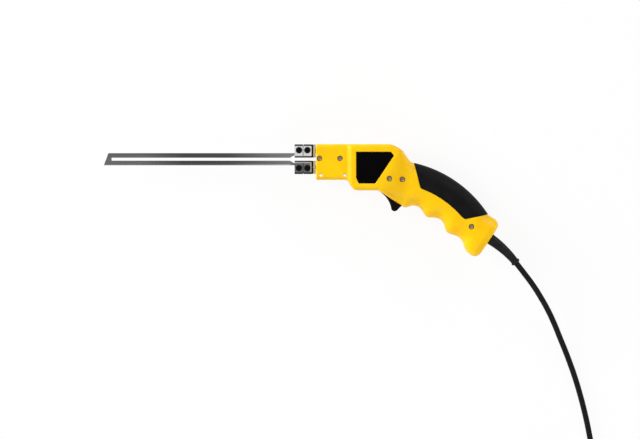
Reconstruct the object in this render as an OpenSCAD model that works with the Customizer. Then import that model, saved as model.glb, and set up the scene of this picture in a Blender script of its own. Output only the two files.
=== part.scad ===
// Electric hot knife for cutting foam and sealing webbing.
// The tool lies on its right side. X runs from the blade's point to the handle, Y runs up the tool
// and Z runs across it, up from the surface it lies on. The origin is on the flat right side of the
// body, on the blade's centre line. Lengths are in millimetres.

/* [Blade] */
// Reach of the blade in front of the terminals
blade_reach = 200.3; // [120:0.1:260]
// Width of the blade over both legs
blade_w = 12.8; // [11.6:0.1:14]
// Width of one leg
leg_w = 4.9; // [3.6:0.1:5.2]
// Thickness of the strip
blade_t = 1.5; // [1:0.1:2]
// How far the lower corner of the point leads the upper one
tip_rake = 4.8; // [0:0.1:8]
// Solid web between the point and the slot
tip_web = 8.2; // [6:0.1:14]
// Width of the ground edge
edge_grind = 1.3; // [0.6:0.1:1.8]
// Length of the neck that shows in front of the terminals
neck_len = 4.8; // [3:0.1:8]

/* [Terminals] */
// Length of a terminal block
terminal_len = 18; // [16:0.1:22]
// Height of a terminal block
terminal_h = 14; // [13:0.1:16]
// Depth of a terminal block across the tool
terminal_d = 14; // [12:0.1:18]
// Chamfer on the long edges of a block
terminal_chamfer = 2; // [0.5:0.1:3]
// Gap between the upper and the lower block
terminal_gap = 3.2; // [2.4:0.1:5]
// Thread radius of the set screws
set_screw_r = 3.2; // [2:0.1:3.4]
// Distance between the two set screws of a block
set_screw_pitch = 8.8; // [7.5:0.1:10]
// Distance of the set screws outside the middle of a block
set_screw_out = 0.8; // [0:0.1:1.5]
// Thickness of an insulating plate behind a block
spacer_t = 1.7; // [1:0.1:3]
// Thickness of an electrode's flange
flange_t = 2.5; // [1.5:0.1:4]
// Gap between a flange and the nose of the housing
flange_gap = 0.3; // [0.2:0.1:1]
// Height of an electrode bar
bar_h = 5; // [3:0.1:6]
// Width of an electrode bar across the tool
bar_w = 8; // [5:0.1:10]

/* [Housing] */
// Height of the top of the housing above the blade's centre line
top_rise = 15.6; // [14:0.1:20]
// Length of the nose
nose_len = 32; // [30:0.1:40]
// Depth of the nose below the blade's centre line
nose_drop = 21.6; // [20:0.1:24]
// Half width of the nose
nose_hw = 21; // [19:0.1:23]
// Length of the step between the nose and the body
step_len = 10; // [8:0.1:16]
// Distance from the step to the origin
body_front = 16.8; // [15:0.1:20]
// Depth of the body below the blade's centre line
body_drop = 32.7; // [31:0.1:36]
// Half width of the body
body_hw = 24; // [23:0.1:27]
// Length of the flat bottom of the body
bottom_len = 23.3; // [20:0.1:26]
// Radius of the nose's long edges
nose_edge_r = 4; // [3:0.1:6]
// Radius of the body's long edges
body_edge_r = 5; // [4:0.1:7]
// Bevel round the front of the nose
nose_bevel = 1.1; // [0.4:0.1:2]
// Wall of the nose and the body
wall = 2.8; // [2:0.1:3]
// Wall of the front of the nose
front_wall = 3; // [2:0.1:4]
// Length of the sloping shoulder behind the body
shoulder_len = 24.1; // [20:0.1:28]
// Height of the sloping shoulder
shoulder_drop = 20; // [18:0.1:22]

/* [Handle] */
// Radius of the handle's back
back_r = 125; // [110:1:140]
// Distance of the handle's front behind the origin, along its back
handle_x = 44.6; // [42:0.1:48]
// Angle on the arc where the handle begins
handle_from = 12.9; // [12:0.1:15]
// Angle on the arc where the back turns to the butt
back_to = 57.1; // [50:0.1:60]
// Angle on the arc of the first finger ridge
finger_first = 12.1; // [11:0.1:14]
// Depth of the handle from its back to the first finger ridge
handle_depth = 47.7; // [44:0.1:52]
// How much thinner the handle is at its last finger ridge
finger_swell = 9.5; // [6:0.1:12]
// Depth of the finger grooves
finger_depth = 5.5; // [2:0.1:6]
// Angle from one finger ridge to the next
finger_pitch = 19.6; // [17:0.1:21]
// Half width of the handle
handle_hw = 17.6; // [16:0.1:20]
// Radius of the handle's edges seen from its end
handle_edge_r = 15; // [10:0.1:16]
// Wall of the handle
handle_wall = 4.2; // [3.6:0.1:5]
// Slope of the cord's way out of the butt
exit_slope = 33.4; // [25:0.1:45]
// Length of the butt along that slope, from the end of the handle's back
butt_len = 15.8; // [14:0.1:20]
// Rise of the butt's back edge over the end of the handle's back
butt_rise = 0.15; // [0:0.05:1]
// Depth of the butt's finger edge below the end of the handle's back
butt_drop = 45; // [43:0.1:48]
// Radius round the end of the butt
butt_r = 7; // [4:0.1:8]

/* [Grip] */
// Thickness of the soft grip pads
grip_t = 2.2; // [1.2:0.1:2.6]
// How far the pads stand proud of the housing
grip_proud = 0.5; // [0.2:0.1:1]
// Depth of the pads from the handle's back to their lower edge
grip_depth = 23.8; // [20:0.1:26]
// Radius of the pads' corners
grip_corner_r = 4; // [2:0.1:6]

/* [Side panel] */
// Length of the panel
panel_len = 39.7; // [34:0.1:44]
// Height of the panel
panel_h = 33.1; // [28:0.1:38]
// Thickness of the panel
panel_t = 1; // [0.6:0.1:1.5]
// Depth of the panel's face below the housing
panel_sunk = 0.4; // [0.2:0.1:0.6]
// Radius of the panel's corners
panel_corner_r = 0.8; // [0.5:0.1:4]

/* [Screws] */
// Radius of a housing screw's head
screw_head_r = 2.6; // [2:0.1:2.7]
// Height of a housing screw's head
screw_head_h = 1.9; // [1.4:0.1:2.4]
// Radius of a housing screw's shank
screw_r = 1.5; // [1.2:0.05:1.8]
// Length of a housing screw below the parting plane
screw_bite = 9; // [6:0.1:12]
// Radius of the bosses round the screws
boss_r = 3.5; // [3.2:0.1:3.6]
// Depth of a screw head's top below the housing
screw_sunk = 0.7; // [0.3:0.1:1.2]
// Radius of the two holes for a cutting guide
guide_r = 1.6; // [1.5:0.1:2.5]
// Widening of those holes at the housing's sides
guide_sink = 0.7; // [0.3:0.1:1]
// Distance between the two holes for a cutting guide
guide_pitch = 25.2; // [23:0.1:26]
// Depth of those holes below the blade's centre line
guide_drop = 17; // [16.5:0.1:17.4]

/* [Trigger] */
// Distance of the trigger's pin from the front of its slot
pivot_run = 4.3; // [3.6:0.1:6]
// Depth of the trigger's pin inside the housing
pivot_depth = 4.7; // [4.2:0.1:5.5]
// Radius of the trigger's pin
pin_r = 1.5; // [1:0.1:1.8]
// Radius of the trigger from its pin to its rear end
trigger_r = 25.6; // [24:0.1:25.8]
// Depth of the trigger's tip below its pin
trigger_drop = 14.2; // [12:0.1:16]
// Width of the trigger across the tool
trigger_w = 12; // [9:0.1:14]
// Bevel on the trigger's edges
trigger_bevel = 1.2; // [0.4:0.1:1.6]

/* [Transformer] */
// Length of the stack of laminations
core_len = 21; // [18:0.1:22]
// Height of the core
core_h = 38; // [36:0.1:39]
// Width of the core across the tool
core_w = 34; // [32:0.1:36]
// Height of the core's middle leg
core_leg = 12; // [10:0.1:12]
// Height of the core's windows
core_window = 7; // [6.8:0.1:8]
// Thickness of the primary winding
winding_t = 3; // [2:0.1:3.1]
// Thickness of the secondary strap
strap_t = 2.4; // [1.5:0.1:2.5]
// Width of the secondary strap across the tool
strap_w = 10; // [6:0.1:12]

/* [Cord] */
// Radius of the cord
cord_r = 3; // [2.5:0.1:3.2]
// Radius of the strain relief at the housing
relief_r = 5.8; // [4.8:0.1:6]
// Length of the strain relief outside the housing
relief_len = 35.2; // [24:0.1:38]
// Length of the collar at the end of the strain relief
collar_len = 2.7; // [2:0.1:4]
// Radius of the collar
collar_r = 4.8; // [4.4:0.1:5.2]
// Radius of the bend in the strain relief
relief_bend_r = 117; // [80:1:160]
// Radius of the coil's outer turn at the middle of the cord
coil_r = 47.5; // [46:0.1:50]
// Number of turns in the coil
coil_turns = 7.25; // [3.25:1:7.25]
// Gap between neighbouring turns of the coil
coil_gap = 0.5; // [0.45:0.05:0.7]
// Width of the plug
plug_w = 36; // [32:0.1:40]
// Thickness of the plug
plug_h = 26; // [22:0.1:28]
// Length of the plug's body
plug_len = 34; // [28:0.1:40]
// Radius of the plug's pins
plug_pin_r = 2.4; // [2:0.1:2.5]
// Length of the plug's pins
plug_pin_len = 19; // [15:0.1:20]
// Distance between the plug's pins
plug_pin_pitch = 19; // [17:0.1:20]

/* [Hidden] */
$fn = 48;
overrun = 1;
seat_fit = 0.15;
face_fit = 0.05;
run_fit = 0.06;
slide_fit = 0.4;

yellow = [0.98, 0.76, 0.04];
rubber = [0.12, 0.12, 0.12];
gloss = [0.06, 0.06, 0.06];
steel = [0.6, 0.6, 0.6];
blue_steel = [0.38, 0.38, 0.38];
copper = [0.72, 0.45, 0.3];
iron = [0.35, 0.35, 0.37];
phenolic = [0.55, 0.5, 0.38];
nylon = [0.85, 0.83, 0.76];
red = [0.6, 0.12, 0.1];
blue = [0.12, 0.25, 0.55];

front_x = -(nose_len + step_len + body_front);
step_x = front_x + nose_len;
body_x = step_x + step_len;
finger_r = back_r - handle_depth;
grip_r = back_r - grip_depth;
sweep_x = handle_x - back_r * sin(handle_from);
sweep_drop = back_r * cos(handle_from) - top_rise + shoulder_drop;

function unit(v) = v / norm(v);
function mix(a, b, t) = a + (b - a) * t;
function smooth(t) = t * t * (3 - 2 * t);
function held(t) = max(0, min(1, t));
function turned(v, a) = [v[0] * cos(a) - v[1] * sin(a), v[0] * sin(a) + v[1] * cos(a)];
function polar(r, a) = [sweep_x + r * sin(a), -sweep_drop + r * cos(a)];
function bezier(a, b, c, t) = mix(mix(a, b, t), mix(b, c, t), t);

// A corner rounded with an arc
function corner(a, b, c, r, n) =
    let (u = unit(a - b), v = unit(c - b), open = acos(u * v))
    let (mid = b + unit(u + v) * r / sin(open / 2), start = b + u * r / tan(open / 2))
    let (way = cross(u, v) > 0 ? -1 : 1)
    [for (i = [0:n]) mid + turned(start - mid, way * (180 - open) * i / n)];

function rounded(points, r, n) =
    let (last = len(points))
    [
        for (i = [0:last - 1])
            each corner(points[(i + last - 1) % last], points[i], points[(i + 1) % last], r, n)
    ];

// A skin over a row of rings, which closes on itself or ends in two flat caps
module skin(rings, closed = false) {
    n = len(rings);
    m = len(rings[0]);
    spans = closed ? n - 1 : n - 2;
    walls = [
        for (i = [0:spans])
            for (j = [0:m - 1])
                let (k = (j + 1) % m, near = i * m, far = ((i + 1) % n) * m)
                each [[near + j, near + k, far + k], [near + j, far + k, far + j]]
    ];
    caps = closed ? [] : [[for (j = [m - 1:-1:0]) j], [for (j = [0:m - 1]) (n - 1) * m + j]];
    polyhedron([for (ring = rings) each ring], concat(walls, caps), convexity = 10);
}

// A ring of points round a path, square to the way it runs
function ring(p, t, r, n) =
    let (side = unit(cross(t, [0, 0, 1])), up = cross(side, t))
    [for (j = [0:n - 1]) p + r * (cos(360 * (j + 0.5) / n) * side + sin(360 * (j + 0.5) / n) * up)];

// The way a path runs at each of its points, given the ways at its two ends
function ways(points, first, last) =
    let (steps = [for (i = [1:len(points) - 1]) unit(points[i] - points[i - 1])])
    concat([unit(first)], [for (i = [1:len(steps) - 1]) unit(steps[i - 1] + steps[i])], [unit(last)]);

module tube(points, r, n, first, last) {
    way = ways(points, first, last);
    skin([for (i = [0:len(points) - 1]) ring(points[i], way[i], r, n)]);
}

// The housing is a skin over stations. A station holds its back point, its finger point, its half
// width, the two radii of its edges and its wall.
step_shares = [
    [-0.1, 0], [0.1, 0.06], [0.21, 0.17], [0.42, 0.55], [0.63, 0.79], [0.84, 0.93], [1.05, 0.98],
    [1.3, 1]
];
shoulder_shares = [
    [-0.05, 0], [0.04, 0.03], [0.22, 0.137], [0.39, 0.26], [0.48, 0.345], [0.65, 0.64], [0.74, 0.8],
    [0.83, 0.91], [0.91, 0.97], [1, 1]
];
round_share = 0.06;
side_step_share = 0.57;
flat_share = 0.3;
butt_share = 0.8;
swell_power = 3.5;
groove_turn = 9;

shoulder_x = polar(back_r, handle_from)[0] - shoulder_len;
function along(table, t) =
    (lookup(t - round_share, table) + 2 * lookup(t, table) + lookup(t + round_share, table)) / 4;
function top_y(x) = top_rise - shoulder_drop * along(shoulder_shares, (x - shoulder_x) / shoulder_len);
function bottom_y(x) = -mix(nose_drop, body_drop, along(step_shares, (x - step_x) / step_len));
function finger_at(a) =
    let (t = (a - handle_from) / (finger_pitch * 3), turn = 360 * (a - finger_first) / finger_pitch)
    let (groove = (1 - cos(turn + groove_turn * sin(turn))) / 2)
    finger_r + finger_swell * pow(max(t, 0), swell_power) + finger_depth * groove;

slot_start = [body_x + bottom_len, -body_drop];
chin = polar(finger_at(handle_from), handle_from);
slot_way = unit(chin - slot_start);
slot_turn = atan2(slot_way[1], slot_way[0]);
slot_len = norm(chin - slot_start);
handle_top = polar(back_r, handle_from);
flat_x = shoulder_x + shoulder_len * flat_share;

nose_stations = [
    for (x = [front_x, front_x + nose_bevel, mix(front_x, step_x, 0.5), step_x - nose_bevel])
        let (in = x == front_x ? nose_bevel : 0)
        [[x, top_rise - in], [x, -nose_drop + in], nose_hw - in, nose_edge_r, nose_edge_r, wall]
];
step_stations = [
    for (t = [0.02, 0.12, 0.22, 0.34, 0.46, 0.58, 0.7, 0.84])
        let (x = mix(step_x, body_x, t), s = smooth(held(t / side_step_share)))
        let (edge = mix(nose_edge_r, body_edge_r, s))
        [[x, top_rise], [x, bottom_y(x)], mix(nose_hw, body_hw, s), edge, edge, wall]
];
body_stations = [
    for (t = [0, 0.3, 0.6, 0.8, 0.88, 0.94])
        let (u = mix(body_x, flat_x, t), l = mix(body_x, slot_start[0], t))
        [[u, top_y(u)], [l, bottom_y(l)], body_hw, body_edge_r, body_edge_r, wall]
];
shoulder_stations = [
    for (i = [0:10])
        let (t = i / 11, u = mix(flat_x, handle_top[0], t), s = smooth(t))
        let (edge = mix(body_edge_r, handle_edge_r, s))
        [
            [u, top_y(u)], mix(slot_start, chin, t), mix(body_hw, handle_hw, s), edge, edge,
            mix(wall, handle_wall, t)
        ]
];

exit_way = [cos(exit_slope), -sin(exit_slope)];
exit_side = [sin(exit_slope), cos(exit_slope)];
back_end = polar(back_r, back_to);
function butt_point(reach, off) = back_end + exit_way * reach + exit_side * off;
flare = butt_point(butt_len - butt_r, butt_rise);
heel = butt_point(butt_len - butt_r, -butt_drop);
heel_angle = atan2(heel[0] - sweep_x, heel[1] + sweep_drop);
heel_share = 0.86;
heel_lead = 8.5;
function finger_turn(t) =
    let (a = mix(handle_from, heel_angle, t))
    polar(finger_at(a), a);
function finger_point(t) =
    let (s = (t - heel_share) / (1 - heel_share))
    s < 0 ? finger_turn(t) : bezier(finger_turn(heel_share), heel - exit_way * heel_lead, heel, s);
function back_point(t) =
    t < butt_share ? polar(back_r, mix(handle_from, back_to, t / butt_share))
    : mix(back_end, flare, (t - butt_share) / (1 - butt_share));

handle_count = 33;
handle_stations = [
    for (i = [0:handle_count])
        let (t = i / handle_count)
        [back_point(t), finger_point(t), handle_hw, handle_edge_r, handle_edge_r, handle_wall]
];
// A station on the round end of the butt, at an angle of that round
function butt_station(from, a) =
    let (reach = from + butt_r * sin(a), in = butt_r * (1 - cos(a)), edge = handle_edge_r - in)
    [
        butt_point(reach, butt_rise - in), butt_point(reach, -butt_drop + in), handle_hw - in,
        edge, edge, handle_wall
    ];
butt_stations = [for (a = [22, 42, 60, 76, 90]) butt_station(butt_len - butt_r, a)];
stations = concat(
    nose_stations, step_stations, body_stations, shoulder_stations, handle_stations, butt_stations
);

// The hollow starts behind the front wall and ends in front of the butt's end. Its stations lie between
// those of the skin.
hollow_share = 0.4;
hollow_end = butt_len - handle_wall - butt_r;
hollow_front = front_x + front_wall;
hollow_stations = concat(
    [[[hollow_front, top_rise], [hollow_front, -nose_drop], nose_hw, nose_edge_r, nose_edge_r, wall]],
    [
        for (i = [1:len(stations) - len(butt_stations) - 4])
            if (i < 4 || i % 2 == 0) mix(stations[i], stations[i + 1], hollow_share)
    ],
    [for (a = [0, 45, 80]) butt_station(hollow_end, a)]
);
least_edge = 1.2;

// One half of a station's outline, from the parting plane out to the side. A cut starts below
// that plane.
function half_ring(s, in, low, n) =
    let (k = unit(s[0] - s[1]), mid = (s[0] + s[1]) / 2)
    let (h = norm(s[0] - s[1]) / 2 - in, w = s[2] - in)
    let (rh = max(s[3] - in, least_edge), rz = max(s[4] - in, least_edge))
    let (
        flat = concat(
            low < 0 ? [[-h - low, low], [-h, 0]] : [[-h, 0]],
            [for (a = [0:90 / n:90]) [-h + rh - rh * cos(a), w - rz + rz * sin(a)]],
            [for (a = [0:90 / n:90]) [h - rh + rh * sin(a), w - rz + rz * cos(a)]],
            low < 0 ? [[h, 0], [h + low, low]] : [[h, 0]]
        )
    )
    [for (p = flat) [mid[0] + k[0] * p[0], mid[1] + k[1] * p[0], p[1]]];

edge_steps = 6;
module outer_half() {
    skin([for (s = stations) half_ring(s, 0, 0, edge_steps)]);
}
module hollow_half() {
    skin([for (s = hollow_stations) half_ring(s, s[5], -overrun, 3)]);
}

// The soft grip pads wrap the back of the handle
pad_last = len(stations) - len(butt_stations) - 2;
pad_first = pad_last - len(handle_stations) - 1;
pad_stations = [for (i = [pad_first:2:pad_last]) stations[i]];
// A place on the pads, as shares of the back's arc and of the pads' depth
function pad_place(arc_share, depth_share) =
    polar(back_r - grip_depth * depth_share, mix(handle_from, back_to, arc_share));
pad_front = pad_place(-0.007, 0);
pad_rear = pad_place(0.998, 0);
pad_front_way = unit(pad_place(0.149, 1) - pad_front);
pad_rear_way = unit(pad_place(0.878, 1) - pad_rear);
low_shares = [0.195, 0.819];
pad_steps = 10;
pad_low = [for (i = [0:pad_steps]) pad_place(mix(low_shares[0], low_shares[1], i / pad_steps), 1)];
pad_outline = concat(
    [pad_front - pad_front_way * grip_depth],
    corner(pad_front, pad_place(0.149, 1), pad_low[0], grip_corner_r, 4),
    pad_low,
    corner(pad_low[pad_steps], pad_place(0.882, 0.958), pad_rear, grip_corner_r / 2, 4),
    [pad_rear - pad_rear_way * grip_depth]
);
// One half of a layer round the handle, out along its outside and back along its inside
function layer_ring(s, in, out) =
    let (inner = half_ring(s, in, 0, edge_steps), last = len(inner) - 1)
    concat(half_ring(s, out, 0, edge_steps), [for (i = [last:-1:0]) inner[i]]);
module layer(in, out) {
    intersection() {
        skin([for (s = pad_stations) layer_ring(s, in, out)]);
        translate([0, 0, -overrun])
            linear_extrude(handle_hw + grip_t + overrun)
                polygon(pad_outline);
    }
}
module pad_pocket() {
    layer(grip_t + face_fit, -grip_proud - overrun);
}
module pad() {
    layer(grip_t, -grip_proud);
}

// Places of the housing screws, with the height of the housing's side at each: two in the nose, two
// above the trigger, as shares of its slot and of the body's depth, and one beside the cord's tail
slot_in = [-slot_way[1], slot_way[0]];
nose_screw_in = 3.7;
nose_screw_pitch = 21.5;
nose_screw_rise = 0.6;
slot_screw_shares = [[0.088, 0.342, 0.1], [0.447, 0.483, 0.74]];
butt_screw_back = 7.86;
butt_screw_drop = 20.1;
nose_screws = [
    for (i = [0, 1]) [front_x + nose_screw_in + i * nose_screw_pitch, nose_screw_rise, nose_hw]
];
slot_screws = [
    for (s = slot_screw_shares)
        let (p = slot_start + slot_way * slot_len * s[0] + slot_in * (top_rise + body_drop) * s[1])
        [p[0], p[1], mix(body_hw, handle_hw, s[2])]
];
function handle_place(arc_share, depth_share) =
    polar(back_r - handle_depth * depth_share, mix(handle_from, back_to, arc_share));
handle_screw = butt_point(-butt_screw_back, -butt_screw_drop);
screws = concat(nose_screws, slot_screws, [[handle_screw[0], handle_screw[1], handle_hw]]);
function seat_z(s) = s[2] - screw_sunk - screw_head_h;
head_room = 0.3;
guide_in = 5.1;
guide_boss_t = 2.5;
guide_sink_d = 1.2;
guide_boss_r = guide_r + guide_boss_t;
guide_places = [for (i = [0, 1]) [front_x + guide_in + i * guide_pitch, -guide_drop]];

// The trigger's own frame has its origin on the pin and its first axis along the slot
pivot = slot_start + slot_way * pivot_run + slot_in * pivot_depth;
module at_pivot() {
    translate([pivot[0], pivot[1], 0])
        rotate([0, 0, slot_turn])
            children();
}
slot_hw = trigger_w / 2 + slide_fit;
slot_from = -pivot_run;
slot_to = trigger_r + slide_fit * 2;
lip_len = 1.8;
lip_y = wall - pivot_depth + slide_fit;
pivot_boss_r = 3.2;
pin_hold = 5;
pin_half = slot_hw + pin_hold;

bar_y = (terminal_gap + terminal_h) / 2;
holder_in = 7.8;
holder_from = front_x + holder_in;
holder_len = 13;
holder_h = 25;
holder_corner_r = 1.8;
holder_w = (nose_hw - wall - seat_fit) * 2;
rib_t = 1.6;
rib_reach = 5;
core_in = 12.3;
core_mid = [body_x + core_in, (top_rise - body_drop) / 2];
core_yoke = core_leg / 2;
seat_rib_h = 20;
stop_reach = 4;

switch_from = 4.6;
switch_len = 19.8;
switch_low = 5.1;
switch_h = 9.2;
switch_w = 6.4;
peg_r = 1.4;
peg_run = 9.6;
peg_in = 2.6;
peg_y = switch_low + switch_h - peg_in;
peg_from = switch_from + (switch_len - peg_run) / 2;
plunger_x = 9.4;
plunger_gap = 0.3;
plunger_in = 1.8;

exit_drop = 19.85;
exit_point = butt_point(butt_len, -exit_drop);
relief_flange_r = 7.2;
relief_flange_t = 2.4;
exit_hole_r = relief_r + seat_fit;
clamp_reach = 2.7;
clamp_len = 7;
clamp_half = 12;
clamp_screw_off = 8.6;
clamp_screw_r = 1.25;
clamp_head_r = 2.4;
clamp_head_h = 1.7;
clamp_t = 2;
clamp_z = -1.4;
clamp_low = clamp_z + face_fit;
clamp_boss_r = 2.9;

module at_exit(reach) {
    place = butt_point(reach, -exit_drop);
    translate([place[0], place[1], 0])
        rotate([0, 0, -exit_slope])
            children();
}
module box(from, size) {
    translate(from)
        cube(size);
}
module post(p, r, low, high) {
    translate([p[0], p[1], low])
        cylinder(h = high - low, r = r);
}

// Everything inside one half that both halves share, from the parting plane out
module half_inside() {
    for (s = screws)
        post(s, boss_r, 0, s[2] - wall / 2);
    for (p = guide_places)
        post(p, guide_boss_r, 0, nose_hw - wall / 2);
    at_pivot()
        post([0, 0], pivot_boss_r, slot_hw + face_fit, body_hw - wall / 2);
    rib_z = nose_hw - wall - rib_reach;
    for (x = [holder_from - seat_fit - rib_t, holder_from + holder_len + seat_fit])
        box([x, -holder_h / 2, rib_z], [rib_t, holder_h, rib_reach + wall / 2]);
    side_z = core_w / 2 + seat_fit;
    side_h = body_hw - wall / 2 - side_z;
    for (x = [core_mid[0] - core_len / 3, core_mid[0] + core_len / 3])
        box([x - rib_t / 2, core_mid[1] - seat_rib_h / 2, side_z], [rib_t, seat_rib_h, side_h]);
    for (x = [core_mid[0] - core_len / 2 - seat_fit - rib_t, core_mid[0] + core_len / 2 + seat_fit])
        box(
            [x, core_mid[1] - seat_rib_h / 2, side_z - stop_reach],
            [rib_t, seat_rib_h, side_h + stop_reach]
        );
}
// A hole for the cutting guide, with a countersink from the housing's side
module guide_hole(p) {
    post(p, guide_r, -overrun, nose_hw + overrun);
    over = guide_sink * overrun / guide_sink_d;
    translate([p[0], p[1], nose_hw - guide_sink_d * 2])
        cylinder(h = guide_sink_d * 2 + overrun, r1 = guide_r - guide_sink, r2 = guide_r + guide_sink + over);
}
// Everything cut out of both halves
module half_cuts() {
    for (p = guide_places)
        guide_hole(p);
    for (side = [-1, 1])
        box(
            [front_x - overrun, side * bar_y - bar_h / 2 - seat_fit, -overrun],
            [front_wall + overrun * 2, bar_h + seat_fit * 2, bar_w / 2 + seat_fit + overrun]
        );
    at_pivot() {
        post([0, 0], pin_r + face_fit, 0, pin_half + seat_fit);
        box(
            [slot_from, -pivot_depth * 2, -overrun],
            [slot_to - slot_from, pivot_depth * 3, slot_hw + overrun]
        );
        box(
            [slot_to / 2, lip_y - slide_fit, -overrun],
            [slot_to / 2 + lip_len, pivot_depth * 2, slot_hw + overrun]
        );
    }
    at_exit(butt_len)
        rotate([0, 90, 0])
            cylinder(h = handle_wall * 3, r = exit_hole_r, center = true);
    pad_pocket();
}

module lifted() {
    translate([0, 0, body_hw])
        children();
}
module flipped() {
    mirror([0, 0, 1])
        children();
}

panel_shares = [[0, 1], [0.917, 1], [1, 0.885], [0.506, 0], [0.068, 0], [0, 0.178]];
panel_rise = 7.1;
panel_outline = [
    for (p = panel_shares) [body_x + p[0] * panel_len, panel_rise - body_drop + p[1] * panel_h]
];
module panel_zone(low, high, grow) {
    translate([0, 0, low])
        linear_extrude(high - low)
            polygon(rounded(panel_outline, panel_corner_r + grow, 5));
}

module housing_left() {
    color(yellow)
        lifted()
            difference() {
                union() {
                    difference() {
                        outer_half();
                        hollow_half();
                    }
                    half_inside();
                }
                half_cuts();
                panel_zone(body_hw - panel_sunk - panel_t - face_fit, body_hw + overrun, 0);
                for (s = screws) {
                    post(s, screw_r + face_fit, -overrun, s[2]);
                    post(s, screw_head_r + head_room, seat_z(s), s[2] + overrun * 2);
                }
            }
}
module housing_right() {
    color(yellow)
        lifted()
            flipped()
                difference() {
                    union() {
                        difference() {
                            outer_half();
                            hollow_half();
                        }
                        half_inside();
                        switch_pegs();
                        clamp_seat();
                    }
                    half_cuts();
                    for (s = screws)
                        post(s, screw_r + face_fit, -overrun, screw_bite + overrun);
                    clamp_cuts();
                }
}
// Two pegs hold the switch on a rib of the right half
module switch_pegs() {
    at_pivot() {
        box(
            [switch_from, switch_low, switch_w / 2 + face_fit],
            [switch_len, switch_h, body_hw - wall * 2 - switch_w / 2]
        );
        for (i = [0, 1])
            post([peg_from + i * peg_run, peg_y], peg_r, 0, body_hw - wall * 2);
    }
}
module clamp_seat() {
    at_exit(clamp_reach)
        intersection() {
            box(
                [-clamp_len / 2, -clamp_half, -clamp_z],
                [clamp_len, clamp_half * 2, handle_hw - wall / 2 + clamp_z]
            );
            rotate([90, 0, 0])
                cylinder(h = clamp_half * 2, r = handle_hw - wall / 2, center = true);
        }
}
module clamp_cuts() {
    at_exit(clamp_reach) {
        rotate([0, 90, 0])
            cylinder(h = clamp_len + overrun * 2, r = cord_r + face_fit, center = true);
        for (side = [-1, 1])
            post(
                [0, side * clamp_screw_off], clamp_screw_r + face_fit, -clamp_z - overrun,
                (handle_hw + clamp_len) / 2
            );
    }
}

module grip_left() {
    color(rubber)
        lifted()
            pad();
}
module grip_right() {
    color(rubber)
        lifted()
            flipped()
                pad();
}
module side_panel() {
    color(gloss)
        lifted()
            panel_zone(body_hw - panel_sunk - panel_t, body_hw - panel_sunk, face_fit);
}

// A screw with a pan head and a cross recess, standing on its shank
module screw(r, head_r, head_h, len) {
    recess_w = head_r / 3;
    difference() {
        union() {
            cylinder(h = head_h * 0.6, r = head_r);
            translate([0, 0, head_h * 0.6])
                cylinder(h = head_h * 0.4, r1 = head_r, r2 = head_r * 0.72);
            translate([0, 0, -len])
                cylinder(h = len + head_h / 2, r = r);
        }
        for (a = [0, 90])
            rotate([0, 0, a])
                box([-head_r * 0.6, -recess_w / 2, head_h * 0.4], [head_r * 1.2, recess_w, head_h]);
    }
}
module housing_screws() {
    color(steel)
        lifted()
            for (s = screws)
                translate([s[0], s[1], seat_z(s)])
                    screw(screw_r, screw_head_r, screw_head_h, seat_z(s) + screw_bite);
}

terminal_x = front_x - flange_gap - flange_t - spacer_t - terminal_len;
tail_y = bar_y + set_screw_out;
tail_trim = 0.3;
tail_h = leg_w - tail_trim;
tail_short = 1.2;
tail_len = terminal_len - tail_short;
neck_slope = 30;
tip_x = terminal_x - blade_reach;
leg_y = blade_w / 2;
slot_y = leg_y - leg_w;
neck_run = (tail_y - tail_h / 2 - slot_y) / tan(neck_slope);
tail_run = (tail_y + tail_h / 2 - leg_y) / tan(neck_slope);

// One leg of the blade and its tail, above the blade's centre line
leg_outline = [
    [terminal_x, leg_y],
    [terminal_x + tail_run, tail_y + tail_h / 2],
    [terminal_x + tail_len, tail_y + tail_h / 2],
    [terminal_x + tail_len, tail_y - tail_h / 2],
    [terminal_x - neck_len + neck_run, tail_y - tail_h / 2],
    [terminal_x - neck_len, slot_y]
];
blade_outline = concat(
    [[tip_x, -leg_y], [tip_x + tip_rake, leg_y]],
    leg_outline,
    [[tip_x + tip_web, slot_y], [tip_x + tip_web, -slot_y]],
    [for (i = [len(leg_outline) - 1:-1:0]) [leg_outline[i][0], -leg_outline[i][1]]]
);
module blade() {
    color(blue_steel)
        lifted()
            difference() {
                translate([0, 0, -blade_t / 2])
                    linear_extrude(blade_t)
                        polygon(blade_outline);
                for (side = [0, 1])
                    mirror([0, side, 0])
                        translate([tip_x - overrun, leg_y, 0])
                            rotate([90, 0, 90])
                                linear_extrude(blade_reach + overrun - neck_len)
                                    edge_waste();
            }
}
// What grinding takes off the outer edge of a leg, on both faces
module edge_waste() {
    land = blade_t / 8;
    for (face = [-1, 1])
        polygon([
            [-edge_grind, face * blade_t / 2],
            [-edge_grind, face * blade_t],
            [blade_t, face * blade_t],
            [blade_t, face * land],
            [0, face * land]
        ]);
}

socket_depth = 2.4;
set_screw_sunk = 0.5;
set_screw_in = 4.5;
set_screw_x = terminal_x + terminal_len - set_screw_in;
groove_x = set_screw_x - set_screw_pitch / 2;
groove_r = 0.6;
slit_h = terminal_h - terminal_chamfer;
module terminal() {
    difference() {
        translate([terminal_x, bar_y, 0])
            rotate([90, 0, 90])
                linear_extrude(terminal_len)
                    polygon(chamfered(terminal_h, terminal_d, terminal_chamfer));
        box(
            [terminal_x - overrun, bar_y - slit_h / 2, -blade_t / 2 - face_fit],
            [tail_len + seat_fit + overrun, slit_h, blade_t + seat_fit * 2]
        );
        for (i = [0, 1])
            post([set_screw_x - i * set_screw_pitch, tail_y], set_screw_r + face_fit, 0, terminal_d);
        for (side = [-1, 1])
            translate([groove_x, bar_y, side * terminal_d / 2])
                rotate([90, 0, 0])
                    cylinder(h = terminal_h + overrun * 2, r = groove_r, center = true);
        translate([groove_x, bar_y + terminal_h / 2, 0])
            cylinder(h = terminal_d + overrun * 2, r = groove_r, center = true);
    }
}
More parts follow.
